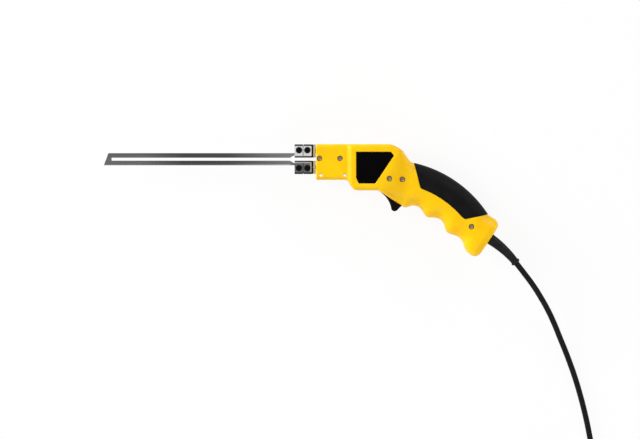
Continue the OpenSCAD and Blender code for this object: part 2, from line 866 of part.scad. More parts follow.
function chamfered(w, h, c) = [
    [-w / 2 + c, -h / 2], [w / 2 - c, -h / 2], [w / 2, -h / 2 + c], [w / 2, h / 2 - c],
    [w / 2 - c, h / 2], [-w / 2 + c, h / 2], [-w / 2, h / 2 - c], [-w / 2, -h / 2 + c]
];
module lower() {
    mirror([0, 1, 0])
        children();
}
module terminal_upper() {
    color(steel)
        lifted()
            terminal();
}
module terminal_lower() {
    color(steel)
        lifted()
            lower()
                terminal();
}
module set_screws() {
    color(gloss)
        lifted()
            for (side = [-1, 1])
                for (i = [0, 1])
                    translate([set_screw_x - i * set_screw_pitch, side * tail_y, 0])
                        difference() {
                            post([0, 0], set_screw_r, blade_t / 2, terminal_d / 2 - set_screw_sunk);
                            translate([0, 0, terminal_d / 2 - set_screw_sunk - socket_depth])
                                cylinder(h = socket_depth + overrun, r = set_screw_r * 0.6, $fn = 6);
                        }
}
plate_trim = 0.4;
plate_h = terminal_h - plate_trim;
spacer_x = terminal_x + terminal_len;
// A block round an electrode bar, or the hole that such a bar goes through
module on_bar(x, side, len, h, w) {
    box([x, side * bar_y - h / 2, -w / 2], [len, h, w]);
}
module bar_hole(x, side, len) {
    on_bar(x - overrun, side, len + overrun * 2, bar_h + face_fit * 2, bar_w + face_fit * 2);
}
module terminal_spacers() {
    color(gloss)
        lifted()
            for (side = [-1, 1])
                difference() {
                    on_bar(spacer_x, side, spacer_t, plate_h, terminal_d);
                    bar_hole(spacer_x, side, spacer_t);
                }
}
strap_stand = 5.5;
strap_front = core_mid[0] - core_len / 2 - strap_stand;
bar_end = strap_front - strap_t;
module electrode() {
    on_bar(spacer_x, 1, bar_end - spacer_x, bar_h, bar_w);
    on_bar(spacer_x + spacer_t, 1, flange_t, plate_h, terminal_d);
}
module electrode_upper() {
    color(copper)
        lifted()
            electrode();
}
module electrode_lower() {
    color(copper)
        lifted()
            lower()
                electrode();
}
module electrode_holder() {
    color(phenolic)
        lifted()
            difference() {
                translate([holder_from, 0, 0])
                    rotate([90, 0, 90])
                        linear_extrude(holder_len)
                            polygon(chamfered(holder_h, holder_w, holder_corner_r));
                for (side = [-1, 1])
                    bar_hole(holder_from, side, holder_len);
            }
}

// The laminations lie across the tool, with the windows open to the front and the back
core_from = [core_mid[0] - core_len / 2, core_mid[1] - core_h / 2, -core_w / 2];
window_w = core_w - core_yoke * 2;
module transformer_core() {
    color(iron)
        lifted()
            difference() {
                box(core_from, [core_len, core_h, core_w]);
                for (side = [-1, 1])
                    translate([core_mid[0], core_mid[1] + side * (core_leg + core_window) / 2, 0])
                        cube([core_len + overrun * 2, core_window, window_w], center = true);
            }
}
former_t = 0.8;
module around_leg(in, out, w) {
    difference() {
        translate([core_mid[0], core_mid[1], 0])
            cube([core_len + out * 2, core_leg + out * 2, w], center = true);
        translate([core_mid[0], core_mid[1], 0])
            cube([core_len + in * 2, core_leg + in * 2, w + overrun], center = true);
    }
}
former_w = window_w - seat_fit * 2;
module bobbin() {
    color(nylon)
        lifted() {
            around_leg(face_fit, former_t, former_w);
            for (side = [-1, 1])
                translate([0, 0, side * (former_w - former_t) / 2])
                    around_leg(face_fit, former_t + winding_t, former_t);
        }
}
module primary_winding() {
    color(copper)
        lifted()
            around_leg(former_t, former_t + winding_t - seat_fit, former_w - former_t * 2);
}
// A copper strap makes one turn through both windows and turns up to the electrodes in the nose
strap_in = core_leg / 2 + former_t + winding_t + seat_fit;
strap_back = core_mid[0] + core_len / 2 + former_t + winding_t + seat_fit * 2;
module secondary_strap() {
    color(copper)
        lifted()
            translate([0, 0, -strap_w / 2])
                linear_extrude(strap_w)
                    polygon([
                        [bar_end, core_mid[1] - strap_in - strap_t],
                        [strap_back + strap_t, core_mid[1] - strap_in - strap_t],
                        [strap_back + strap_t, core_mid[1] + strap_in + strap_t],
                        [strap_front, core_mid[1] + strap_in + strap_t],
                        [strap_front, bar_y + bar_h / 2],
                        [bar_end, bar_y + bar_h / 2],
                        [bar_end, core_mid[1] + strap_in],
                        [strap_back, core_mid[1] + strap_in],
                        [strap_back, core_mid[1] - strap_in],
                        [strap_front, core_mid[1] - strap_in],
                        [strap_front, -bar_y + bar_h / 2],
                        [bar_end, -bar_y + bar_h / 2]
                    ]);
}

tip_r = 3.8;
tip_back = 5.5;
tip_mid = [trigger_r - tip_back, -trigger_drop + tip_r];
hub_r = 3.4;
trigger_front = hub_r * [-0.47, -1.41];
trigger_sag = [trigger_r * 0.41, -trigger_drop * 0.39];
trigger_lead = tip_r * [0.69, 0.655];
nub_top = 2.4;
nub_past = 3.6;
nub_to = plunger_x + nub_past;
arm_top = -0.2;
arm_share = 0.62;
rear_from = -17;
trigger_outline = concat(
    [for (a = [90:15:240]) hub_r * [cos(a), sin(a)]],
    [for (t = [0.05:0.13:0.96]) bezier(trigger_front, trigger_sag, tip_mid - trigger_lead, t)],
    [for (a = [235:15:340]) tip_mid + tip_r * [cos(a), sin(a)]],
    [for (a = [rear_from:4:-6]) trigger_r * [cos(a), sin(a)]],
    [[trigger_r * arm_share, arm_top], [nub_to, nub_top], [hub_r, nub_top]]
);
// The arm ends in a lip behind the wall at the rear of the slot
arm_outline = [
    [trigger_r * arm_share, lip_y], [trigger_r + lip_len - slide_fit, lip_y],
    [trigger_r + lip_len - slide_fit, arm_top], [trigger_r * arm_share, arm_top]
];
// A plate with bevelled edges, made from an outline that runs counterclockwise
function shrunk(points, in) =
    let (n = len(points))
    [
        for (i = [0:n - 1])
            let (before = points[(i + n - 1) % n], after = points[(i + 1) % n])
            let (a = unit(points[i] - before), b = unit(after - points[i]))
            points[i] + unit([-a[1] - b[1], a[0] + b[0]]) * in
    ];
module bevelled(points, w, bevel) {
    inner = shrunk(points, bevel);
    layers = [[inner, w / 2], [points, w / 2 - bevel], [points, -w / 2 + bevel], [inner, -w / 2]];
    skin([for (l = layers) [for (p = l[0]) [p[0], p[1], l[1]]]]);
}
module trigger() {
    color(rubber)
        lifted()
            at_pivot()
                difference() {
                    union() {
                        bevelled(trigger_outline, trigger_w, trigger_bevel);
                        linear_extrude(trigger_w - trigger_bevel * 2, center = true)
                            polygon(arm_outline);
                    }
                    cylinder(h = trigger_w + overrun, r = pin_r + run_fit, center = true);
                }
}
module trigger_pin() {
    color(steel)
        lifted()
            at_pivot()
                cylinder(h = pin_half * 2, r = pin_r, center = true);
}
tab_t = 0.6;
tab_w = 3;
tab_h = 4.6;
plunger_r = 1.3;
module switch_body() {
    color(gloss)
        lifted()
            at_pivot() {
                difference() {
                    box([switch_from, switch_low, -switch_w / 2], [switch_len, switch_h, switch_w]);
                    for (i = [0, 1])
                        post([peg_from + i * peg_run, peg_y], peg_r + face_fit, -switch_w, switch_w);
                    translate([plunger_x, switch_low - overrun, 0])
                        rotate([-90, 0, 0])
                            cylinder(h = switch_h / 2 + overrun, r = plunger_r + run_fit);
                }
                for (x = [switch_from + tab_t, switch_from + switch_len - tab_t * 2])
                    box([x, switch_low + switch_h, -tab_w / 2], [tab_t, tab_h, tab_w]);
            }
}
module switch_plunger() {
    color(red)
        lifted()
            at_pivot()
                translate([plunger_x, nub_top + plunger_gap, 0])
                    rotate([-90, 0, 0])
                        cylinder(h = switch_low - nub_top + plunger_in, r = plunger_r);
}

module clamp_block(h) {
    box([-clamp_len / 2, -clamp_half, clamp_low], [clamp_len, clamp_half * 2, h]);
}
module cord_clamp() {
    color(gloss)
        lifted()
            at_exit(clamp_reach)
                difference() {
                    union() {
                        clamp_block(clamp_t);
                        intersection() {
                            rotate([0, 90, 0])
                                cylinder(h = clamp_len, r = cord_r + clamp_t, center = true);
                            clamp_block(clamp_half);
                        }
                    }
                    rotate([0, 90, 0])
                        cylinder(h = clamp_len + overrun, r = cord_r + face_fit, center = true);
                    for (side = [-1, 1])
                        post([0, side * clamp_screw_off], clamp_screw_r + face_fit, clamp_z, clamp_half);
                }
}
module clamp_screws() {
    color(steel)
        lifted()
            at_exit(clamp_reach)
                for (side = [-1, 1])
                    translate([0, side * clamp_screw_off, clamp_low + clamp_t])
                        screw(clamp_screw_r, clamp_head_r, clamp_head_h, clamp_len);
}

// The strain relief bends down as it leaves the butt
relief_in = handle_wall + relief_flange_t + seat_fit;
relief_droop = 1.6;
function relief_point(s) =
    let (a = max(s, 0) / relief_bend_r * 180 / PI, t = max(s, 0) / (relief_len + collar_len))
    let (bend = relief_bend_r * (sin(a) * exit_way - (1 - cos(a)) * exit_side))
    let (p = exit_point + (s < 0 ? exit_way * s : bend))
    [p[0], p[1], body_hw - relief_droop * t * t];
function relief_way(s) = unit(relief_point(s + relief_droop / 2) - relief_point(s - relief_droop / 2));
bore_r = cord_r + seat_fit + face_fit;
relief_wall = 0.75;
relief_steps = 6;
relief_end = relief_len + collar_len;
flange_in = handle_wall + seat_fit;
taper = [for (i = [0:relief_steps]) i / relief_steps];
relief_profile = concat(
    [[-relief_in, relief_flange_r], [-flange_in, relief_flange_r], [-flange_in, relief_r]],
    [for (t = taper) [relief_len * t, mix(relief_r, bore_r + relief_wall, t)]],
    [[relief_len, collar_r], [relief_end, collar_r]]
);
bore_profile = [for (i = [relief_steps:-1:0]) [mix(-relief_in, relief_end, taper[i]), bore_r]];
function relief_ring(s, r) = ring(relief_point(s), relief_way(s), r, 20);
module strain_relief() {
    color(gloss)
        skin([for (s = concat(relief_profile, bore_profile)) relief_ring(s[0], s[1])], true);
}
tail_over = 0.3;
tail_in = butt_len - clamp_reach + clamp_len / 2 + tail_over;
tail_steps = 8;
module cord_tail() {
    color(gloss)
        tube(
            [for (i = [0:tail_steps]) relief_point(mix(-tail_in, relief_end, i / tail_steps))],
            cord_r, 10, relief_way(-tail_in), relief_way(relief_end)
        );
}

// Where the cord lies on the surface, chosen by hand
cord_points = [
    [160, -119.9, 21], [169.3, -132.3, 18.5], [177.6, -145.2, 15.5], [185.3, -158.8, 12], [192, -172.9, 9],
    [198, -187.5, 6.5], [204, -202, 4.5], [209.5, -216.5, 3.4], [214.5, -231, 3], [219, -246, 3],
    [223, -261, 3], [226.5, -276, 3], [229.5, -291, 3], [232.2, -306, 3.1], [234.2, -321, 3.4],
    [235.2, -336, 3.8]
];
coil_mid = [188, -356];
coil_lift = 1;
coil_low = coil_lift + cord_r;
coil_pitch = cord_r * 2 + coil_gap;
end_len = cord_r * 2;
coil_start = [coil_mid[0] + coil_r, coil_mid[1] + end_len, coil_low];
half_turns = coil_turns / 2;
coil_rings = 24;
function coil_point(u) =
    let (r = coil_r - coil_pitch * (half_turns - abs(u - half_turns)), a = -360 * u)
    let (climb = smooth(held((u - half_turns + 0.25) * 2)))
    [coil_mid[0] + r * cos(a), coil_mid[1] + r * sin(a), coil_low + coil_pitch * climb];
coil_turn_end = coil_point(coil_turns);
coil_start_way = [0, -1, 0];
coil_end_way = [-1, 0, 0];
coil_end = coil_turn_end + coil_end_way * end_len;
coil_count = round(coil_turns * coil_rings);
coil_path = [for (i = [0:coil_count]) coil_point(i * coil_turns / coil_count)];
coil_points = concat([coil_start], coil_path, [coil_end]);
far_apart = coil_rings / 2;
least_gap = min([
    for (i = [0:coil_count])
        for (j = [0:coil_count])
            if (j > i + far_apart) norm(coil_path[i] - coil_path[j])
]) - cord_r * 2;
echo("least gap between the turns of the coil", least_gap);

module cord() {
    color(gloss)
        tube(
            concat([relief_point(relief_end)], cord_points, [coil_start]),
            cord_r, 10, relief_way(relief_end), coil_start_way
        );
}
module cord_coil() {
    color(gloss)
        tube(coil_points, cord_r, 6, coil_start_way, coil_end_way);
}
plug_neck = 22;
end_run = 24;
end_dip = [0, 0, 0.3];
plug_end = [coil_end[0] - end_run, coil_end[1], plug_h / 2];
end_points = [
    coil_end, mix(coil_end, plug_end, 0.33) - end_dip, mix(coil_end, plug_end, 0.67) + end_dip, plug_end
];
module cord_end() {
    color(gloss)
        tube(end_points, cord_r, 8, coil_end_way, coil_end_way);
}
tie_t = 0.8;
tie_w = 5;
tie_room = 0.2;
tie_turn = 110;
tie_in = coil_r - coil_pitch * half_turns - cord_r - tie_room * 4;
tie_len = coil_r + cord_r + tie_room * 4 - tie_in;
tie_top = coil_low + coil_pitch + cord_r + tie_room;
module cord_tie() {
    color(rubber)
        translate([coil_mid[0], coil_mid[1], 0])
            rotate([0, 0, tie_turn])
                difference() {
                    box([tie_in - tie_t, -tie_w / 2, 0], [tie_len + tie_t * 2, tie_w, tie_top + tie_t]);
                    box([tie_in, -tie_w, tie_t], [tie_len, tie_w * 2, tie_top - tie_t]);
                }
}
// The moulded plug lies flat beside the coil
neck_r = 5.2;
plug_face_r = 2;
plug_face = plug_neck + plug_len;
plug_profile = [
    [0, 0], [neck_r, 0], [neck_r * 1.3, plug_neck], [plug_w * 0.4, plug_neck + plug_len * 0.3],
    [plug_w / 2, plug_neck + plug_len * 0.45], [plug_w / 2, plug_face - plug_face_r],
    [plug_w / 2 - plug_face_r, plug_face], [0, plug_face]
];
module plug() {
    color(gloss)
        translate(plug_end)
            rotate([0, -90, 0])
                intersection() {
                    rotate_extrude()
                        polygon(plug_profile);
                    box([-plug_h / 2, -plug_w, -overrun], [plug_h, plug_w * 2, plug_face + overrun * 2]);
                }
}
module plug_pins() {
    color(steel)
        translate(plug_end)
            for (side = [-1, 1])
                translate([-plug_face, side * plug_pin_pitch / 2, 0])
                    rotate([0, -90, 0]) {
                        cylinder(h = plug_pin_len - plug_pin_r, r = plug_pin_r);
                        translate([0, 0, plug_pin_len - plug_pin_r])
                            cylinder(h = plug_pin_r, r1 = plug_pin_r, r2 = plug_pin_r * 0.5);
                    }
}

// The leads run from the cord's tail through the handle to the switch and the winding. Their places
// are shares of the handle's arc, depth and half width, or of the way from the winding to the handle.
lead_r = 1.1;
lead_off = 1.7;
lead_gap = 0.3;
lead_out = 1.5;
lead_rise = 4;
lead_past = 3.5;
lead_spread = 3;
winding_back = core_mid[0] + core_len / 2 + former_t + winding_t;
tail_reach = butt_len - tail_in;
live_shares = [
    [0.736, 0.581, 0.23], [0.53, 0.558, 0.23], [0.335, 0.531, 0.23], [0.173, 0.511, 0.23]
];
neutral_shares = [
    [0.753, 0.4, -0.23], [0.544, 0.411, -0.23], [0.333, 0.391, -0.23], [0.109, 0.326, -0.23]
];
neutral_body_shares = [
    [0.81, 0.367, -0.12], [0.466, 0.183, 0], [0.236, 0.031, 0.25], [0.115, 0.031, 0.31]
];
primary_body_shares = [[0.293, 0.245, -0.25], [0.115, 0.245, -0.31]];

module wire(points) {
    n = len(points);
    tube(points, lead_r, 6, points[1] - points[0], points[n - 1] - points[n - 2]);
}
function at_height(p, z) = [p[0], p[1], body_hw + z];
function tail_leads(side) = [
    for (run = [lead_gap, lead_out])
        at_height(butt_point(tail_reach - run, -exit_drop), -side * lead_off)
];
// The leads pass the boss of the screw beside the cord's tail on its back side, one above the other
function boss_lead(side) = [
    at_height(handle_screw + exit_side * (boss_r + lead_r + lead_past), -side * lead_spread)
];
function handle_leads(shares) = [for (s = shares) at_height(handle_place(s[0], s[1]), handle_hw * s[2])];
function body_leads(shares) = [
    for (s = shares) [mix(winding_back, handle_x, s[0]), -body_drop * s[1], body_hw + body_hw * s[2]]
];
function winding_end(s) = [[winding_back, -body_drop * s[1], body_hw + body_hw * s[2]]];
function tab_leads(x) = [
    for (rise = [lead_rise, lead_gap])
        at_height(pivot + slot_way * x + slot_in * (switch_low + switch_h + tab_h + rise), 0)
];
module lead_live() {
    tab = tab_leads(switch_from + switch_len - tab_t * 1.5);
    color(red)
        wire(concat(tail_leads(-1), boss_lead(-1), handle_leads(live_shares), tab));
}
module lead_neutral() {
    body = body_leads(neutral_body_shares);
    last = neutral_body_shares[len(neutral_body_shares) - 1];
    color(blue)
        wire(concat(tail_leads(1), boss_lead(1), handle_leads(neutral_shares), body, winding_end(last)));
}
module lead_primary() {
    tab = tab_leads(switch_from + tab_t * 1.5);
    last = primary_body_shares[len(primary_body_shares) - 1];
    color(nylon)
        wire(concat([tab[1], tab[0]], body_leads(primary_body_shares), winding_end(last)));
}

housing_left();
housing_right();
grip_left();
grip_right();
side_panel();
housing_screws();
blade();
terminal_upper();
terminal_lower();
set_screws();
terminal_spacers();
electrode_upper();
electrode_lower();
electrode_holder();
transformer_core();
bobbin();
primary_winding();
secondary_strap();
trigger();
trigger_pin();
switch_body();
switch_plunger();
cord_clamp();
clamp_screws();
strain_relief();
cord_tail();
cord();
cord_coil();
cord_end();
cord_tie();
plug();
plug_pins();
lead_live();
lead_neutral();
lead_primary();
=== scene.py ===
"""Looks of an electric hot knife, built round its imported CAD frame. Sizes are in millimetres."""

import math

import bmesh
import bpy
from mathutils import Matrix, Vector


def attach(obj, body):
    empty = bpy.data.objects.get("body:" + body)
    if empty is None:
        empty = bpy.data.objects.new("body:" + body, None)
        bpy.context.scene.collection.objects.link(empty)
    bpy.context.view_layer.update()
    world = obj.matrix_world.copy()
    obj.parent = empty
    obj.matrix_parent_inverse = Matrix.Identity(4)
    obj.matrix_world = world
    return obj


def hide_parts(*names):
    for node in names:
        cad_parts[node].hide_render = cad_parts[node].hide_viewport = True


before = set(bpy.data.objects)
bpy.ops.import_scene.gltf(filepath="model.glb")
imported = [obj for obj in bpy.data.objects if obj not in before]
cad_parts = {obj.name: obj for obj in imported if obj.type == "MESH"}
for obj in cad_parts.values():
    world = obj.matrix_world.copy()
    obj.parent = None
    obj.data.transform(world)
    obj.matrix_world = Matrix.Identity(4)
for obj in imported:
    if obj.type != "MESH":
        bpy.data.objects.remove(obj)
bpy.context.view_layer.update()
scene = bpy.context.scene

# Metres in a millimetre, the parting plane, a tool's reach past its cut, and the least length of an edge
MM, PARTING, OVER, SLIVER = 0.001, 24.0, 1.0, 0.001
# A round edge's middle point as a share of its radius, room between pieces that fit, and steps of round forms
ROUND_SHARE, FIT, TURN_STEPS, CORNER_STEPS, ARC_STEPS = 0.3, 0.15, 48, 8, 9
# Angles in degrees past which an edge is shaded sharp or bevelled, and up to which faces count as flat
SMOOTH_ANGLE, SHELL_ANGLE, PLUG_ANGLE, BEVEL_ANGLE, FLAT_ANGLE = 32, 22, 40, 35, 0.5

# Housing
TOP_RISE, NOSE_LEN, NOSE_DROP, NOSE_HW = 15.6, 32.0, 21.6, 21.0
STEP_LEN, BODY_FRONT, BODY_DROP, BODY_HW = 10.0, 16.8, 32.7, 24.0
BOTTOM_LEN, NOSE_EDGE, BODY_EDGE, NOSE_BEVEL = 23.3, 4.0, 5.0, 1.1
WALL, FRONT_WALL, SHOULDER_LEN, SHOULDER_DROP, SEAM = 2.8, 3.0, 24.1, 20.0, 0.35
STEP_SHARES = [
    (-0.1, 0), (0.1, 0.06), (0.21, 0.17), (0.42, 0.55), (0.63, 0.79), (0.84, 0.93), (1.05, 0.98), (1.3, 1),
]
SHOULDER_SHARES = [
    (-0.05, 0), (0.04, 0.03), (0.22, 0.137), (0.39, 0.26), (0.48, 0.345), (0.65, 0.64), (0.74, 0.8),
    (0.83, 0.91), (0.91, 0.97), (1, 1),
]
EASE_REACH, EASE_STEPS = 0.09, 3
SIDE_STEP_SHARE, FLAT_SHARE, BUTT_SHARE, HEEL_SHARE = 0.57, 0.3, 0.8, 0.86
SLOT_SCREW_SHARES = [(0.088, 0.342, 0.1), (0.447, 0.483, 0.74)]

# Rows of the housing's skin: how far along a stretch they go and how many they are, or how many alone
STEP_ROWS, BODY_ROWS, SHOULDER_ROWS, SIDE_ROWS = (0.96, 32), (0.97, 16), (0.975, 39), (0.06, 0.97, 14)
BEVEL_ROWS, NOSE_ROWS, HANDLE_ROWS, BUTT_ROWS, BUTT_TURN = 5, 8, 132, 8, 11
HOLLOW_FRONT, HOLLOW_HANDLE = slice(9, None, 2), slice(None, -6, 3)
HOLLOW_TURNS, HOLLOW_STEPS = (0, 45, 80), 5

# Handle
BACK_R, HANDLE_X, HANDLE_DEPTH = 125.0, 44.6, 47.7
HANDLE_FROM, BACK_TO = 12.9, 57.1
FINGERS, FINGER_FIRST, FINGER_SWELL, SWELL_POWER = 3, 12.1, 9.5, 3.5
FINGER_DEPTH, FINGER_PITCH, GROOVE_TURN = 5.5, 19.6, 9.0
HANDLE_HW, HANDLE_EDGE, HANDLE_WALL = 17.6, 15.0, 4.2
EXIT_SLOPE, BUTT_LEN, BUTT_RISE, BUTT_DROP, BUTT_R = 33.4, 15.8, 0.15, 45.0, 7.0
HEEL_LEAD, LEAST_EDGE = 8.5, 1.2

# Grip pads, with their corners as shares of the handle's arc and of the pad's depth
GRIP_T, GRIP_PROUD, GRIP_DEPTH, GRIP_CORNER, PAD_GAP = 2.2, 0.5, 23.8, 4.0, 0.22
PAD_FRONT, PAD_FRONT_LOW, PAD_LOW = (-0.007, 0), (0.149, 1), (0.195, 0.819, 40)
PAD_REAR, PAD_REAR_LOW, PAD_REAR_AIM = (0.998, 0), (0.882, 0.958), (0.878, 1)
PAD_LEAD_ROWS, PAD_END_ROWS = 6, 8
PAD_VOXEL, PAD_SOFT, PAD_SOFT_TIMES = 0.45, 0.5, 6

# Side panel, with the flare round its recess as shares outward and downward
PANEL_RISE, PANEL_LEN, PANEL_H = 7.1, 39.7, 33.1
PANEL_T, PANEL_SUNK, PANEL_CORNER, PANEL_FLARE = 1.0, 0.4, 0.8, 0.8
PANEL_GAP, PANEL_BED, PANEL_ROUND = 0.12, 0.05, 0.35
PANEL_SHARES = [(0, 1), (0.917, 1), (1, 0.885), (0.506, 0), (0.068, 0), (0, 0.178)]
RECESS_SHARES, RECESS_PAST = [(0, 1), (0.35, 0.3), (1, 0)], 1.6

# Screws and holes, with the cross recess as shares of a head and its turn in degrees a millimetre
SCREW_HEAD_R, SCREW_HEAD_H, SCREW_R, SCREW_BITE, SCREW_SUNK = 2.6, 1.9, 1.5, 9.0, 0.7
HEAD_RIM, HEAD_BEVEL, DOME_TURN, BORE_LIP, SHANK_ROOM = 0.45, 0.2, 80, 0.45, 0.05
CROSS_ARM, CROSS_HALF, CROSS_DEEP, CROSS_END, CROSS_FOOT, CROSS_TURN = 0.62, 0.16, 0.3, 0.5, 0.6, 7
NOSE_SCREW_IN, NOSE_SCREW_PITCH, NOSE_SCREW_RISE = 3.7, 21.5, 0.6
BUTT_SCREW_BACK, BUTT_SCREW_DROP = 7.86, 20.1
BOSS_R, BOSS_GAP, HEAD_ROOM = 3.5, 0.2, 0.3
GUIDE_R, GUIDE_SINK, GUIDE_SINK_D, GUIDE_BOSS_R = 1.6, 0.7, 1.2, 4.1
GUIDE_PLACES = [(-53.7, -17.0), (-28.5, -17.0)]

# Trigger, with the ends of its finger curve as shares of the hub, of the trigger and of the tip
PIVOT_RUN, PIVOT_DEPTH, PIN_R, PIN_ROOM = 4.3, 4.7, 1.5, 0.06
TRIGGER_R, TRIGGER_DROP, TRIGGER_W, TRIGGER_ROUND = 25.6, 14.2, 12.0, 1.2
SLIDE_FIT, LIP_LEN, HUB_R, TIP_R, TIP_BACK = 0.4, 1.8, 3.4, 3.8, 5.5
FINGER_FRONT, FINGER_SAG, FINGER_LEAD = (-0.47, -1.41), (0.41, -0.39), (0.69, 0.655)
HUB_ARC, TIP_ARC, REAR_ARC, FINGER_ROWS = (90, 240, 14), (235, 340, 14), (-17, -6, 5), (0.05, 0.96, 20)
ARM_SHARE, ARM_Y, INSIDE_X, INSIDE_Y, TRIGGER_STEPS = 0.62, -0.2, 13, 2.4, 6

# Electrode windows and terminal blocks
BAR_Y, BAR_H, BAR_W = 8.6, 5.0, 8.0
TERMINAL_X, TERMINAL_LEN, TERMINAL_H, TERMINAL_D, TERMINAL_CHAMFER = -81.3, 18.0, 14.0, 14.0, 2.0
BLOCK_ROUND, BLOCK_STEPS, BLOCK_END_R = 0.5, 3, 0.4
SLIT_LEN, SLIT_H, SLIT_T, BLADE_TIP_X = 16.95, 12.0, 1.8, -281.6
SET_SCREW_R, SET_SCREW_X, SET_SCREW_PITCH, SET_SCREW_Y, SET_SCREW_RIM = 3.2, -67.8, 8.8, 9.4, 0.25
GROOVE_R, GROOVE_STEPS = 0.6, 24
# Painted bands on the terminal blocks: how far in from the lower block's inner side its painted highlight
# line starts, that line's width, the width of the painted highlight on its back edge, and the softness of the
# bands' edges
PAINTED_LINE_IN, PAINTED_LINE_W, PAINTED_BACK_W, PAINTED_BAND_SOFT = 1.4, 0.95, 1.5, 0.1

# Strain relief
CORD_R, RELIEF_R, RELIEF_LEN, COLLAR_LEN, COLLAR_R = 3.0, 5.8, 35.2, 2.7, 4.8
COLLAR_LAP, COLLAR_DROP, COLLAR_ROWS, RELIEF_SIDES = 0.4, 0.8, (0.08, 0.85, 12), 40
RELIEF_BEND_R, RELIEF_DROOP, RELIEF_BORE_R, RELIEF_END_R = 117.0, 1.6, 3.2, 3.95
RELIEF_ROWS, BORE_ROWS, BORE_IN, WAY_STEP = 40, 16, 1, 0.8
EXIT_DROP, RELIEF_FLANGE_R, RELIEF_FLANGE_T = 19.85, 7.2, 2.4
EXIT_FLARE, EXIT_RIM, EXIT_PAST = 1.2, 0.5, 0.6
TAIL_IN, TAIL_ROWS, TAIL_SIDES = 16.9, 24, 20

# Cord, tie and plug, with the tie's edges as (share of its width, depth in its thickness)
COIL_R, COIL_TURNS, COIL_GAP, COIL_LIFT, COIL_STEPS = 47.5, 7.25, 0.5, 1.0, 24
COIL_MID, CLIMB_TURN = (188.0, -356.0), 0.5
CORD_POINTS = [
    (160, -119.9, 21), (169.3, -132.3, 18.5), (177.6, -145.2, 15.5), (185.3, -158.8, 12), (192, -172.9, 9),
    (198, -187.5, 6.5), (204, -202, 4.5), (209.5, -216.5, 3.4), (214.5, -231, 3), (219, -246, 3),
    (223, -261, 3), (226.5, -276, 3), (229.5, -291, 3), (232.2, -306, 3.1), (234.2, -321, 3.4),
    (235.2, -336, 3.8),
]
TIE_ROOM, TIE_T, TIE_W, TIE_TURN, TIE_CORNER = 0.2, 0.8, 5.0, 110, 3.2
TIE_EDGES = [
    (-0.5, 0.25), (-0.42, 0), (0.42, 0), (0.5, 0.25), (0.5, 0.55), (0.42, 0.8), (-0.42, 0.8), (-0.5, 0.55),
]
PLUG_W, PLUG_H, PLUG_LEN, PLUG_NECK, PLUG_NECK_R, PLUG_FACE_R = 36.0, 26.0, 34.0, 22.0, 5.2, 2.0
PLUG_GAP, PLUG_DIP, PLUG_SHARES = 24.0, 0.3, (0.33, 0.67)
NECK_FLARE, NECK_RIB, NECK_ROWS, SWELL_SHARE, SWELL_ROWS = 1.3, 0.45, 22, 0.45, 12
PLUG_RIB, PLUG_RIB_ROWS, PLUG_ROWS, PLUG_SIDES = 0.5, 13, (0.47, 0.92, 18), 56
PLUG_FLAT, PLUG_SPARE, NECK_STOP = 10, 1.0001, 1

# Leads inside the housing: shares of the handle's arc, depth and half width, or of the body
LEAD_R, LEAD_OFF, LEAD_GAP, LEAD_OUT, LEAD_RISE, LEAD_PAST, LEAD_SPREAD = 1.1, 1.7, 0.3, 1.5, 4.0, 3.5, 3.0
LEAD_SIDES, FLOW_STEPS = 12, 5
SWITCH_FROM, SWITCH_LEN, SWITCH_TOP, TAB_T, WINDING_BACK = 4.6, 19.8, 18.9, 0.6, 9.8
LIVE_SHARES = [(0.736, 0.581, 0.23), (0.53, 0.558, 0.23), (0.335, 0.531, 0.23), (0.173, 0.511, 0.23)]
NEUTRAL_SHARES = [(0.753, 0.4, -0.23), (0.544, 0.411, -0.23), (0.333, 0.391, -0.23), (0.109, 0.326, -0.23)]
NEUTRAL_BODY_SHARES = [(0.81, 0.367, -0.12), (0.466, 0.183, 0), (0.236, 0.031, 0.25), (0.115, 0.031, 0.31)]
PRIMARY_BODY_SHARES = [(0.293, 0.245, -0.25), (0.115, 0.245, -0.31)]

# Camera: the photograph's centre and the width of its frame at the parting plane
VIEW_MID, VIEW_W, LENS, SENSOR, VIEW_END = (-54.6, -63.3), 672.0, 300.0, 36.0, 20

# Light and floor: the sky's level by height, and each lamp's place and size in metres and power in watts
SKY = [(0.0, 0.38), (0.55, 0.39), (0.92, 0.44)]
LAMPS = {
    "key_lamp": ((-1.35, 0.5, 0.55), 0.8, 26),
    "fill_lamp": ((0.4, -1.1, 1.0), 1.2, 10),
    "back_lamp": ((1.0, 1.1, 0.6), 1.0, 11),
}
FLOOR_SIDE, FLOOR_T, FLOOR_GAP = 3000, 10, 0.05
PAPER_LEVELS, PAPER_GRAIN, PAPER_ROUGH, PAPER_SHARE = (0.83, 0.85), 40, 0.9, 0.9


# Looks

def grey(level, blue=None):
    """An even grey, or one with a blue part of its own."""
    return (level, level, level if blue is None else blue)


BLACK, WHITE, EVEN = grey(0), grey(1), (1, 1, 1)
# The span over which colours drift, and the span of facing over which painted shade comes in on the terminal
# blocks' sides
DRIFT, FACING_STOPS = (0.3, 0.7), (0.8, 0.97)
LAYER_STOPS, LAYER_DEPTH, LAYER_GRAIN = (0.2, 0.7), 0.08, 1.0
# A painted highlight along raised edges: its colour, and the span of pointiness over which it comes in
EDGE_HIGHLIGHT, EDGE_HIGHLIGHT_STOPS = (1.0, 0.7, 0.06), (0.53, 0.62)
# Painted shade along the blade, darkest in its middle: its strength by share of the run from tip to
# terminals, then its colour
BLADE_SHADE_SHARES = [(0, 0.42), (0.2, 0.46), (0.42, 0.86), (0.65, 0.82), (0.85, 0.4), (1, 0.08)]
BLADE_SHADE = grey(0.035, 0.038)

# Grain, roughness and specular level of the plain coloured plastics
PLAIN_GRAIN = ((4, 0.4, 0.01), (0.4, 0.5), 0.5)
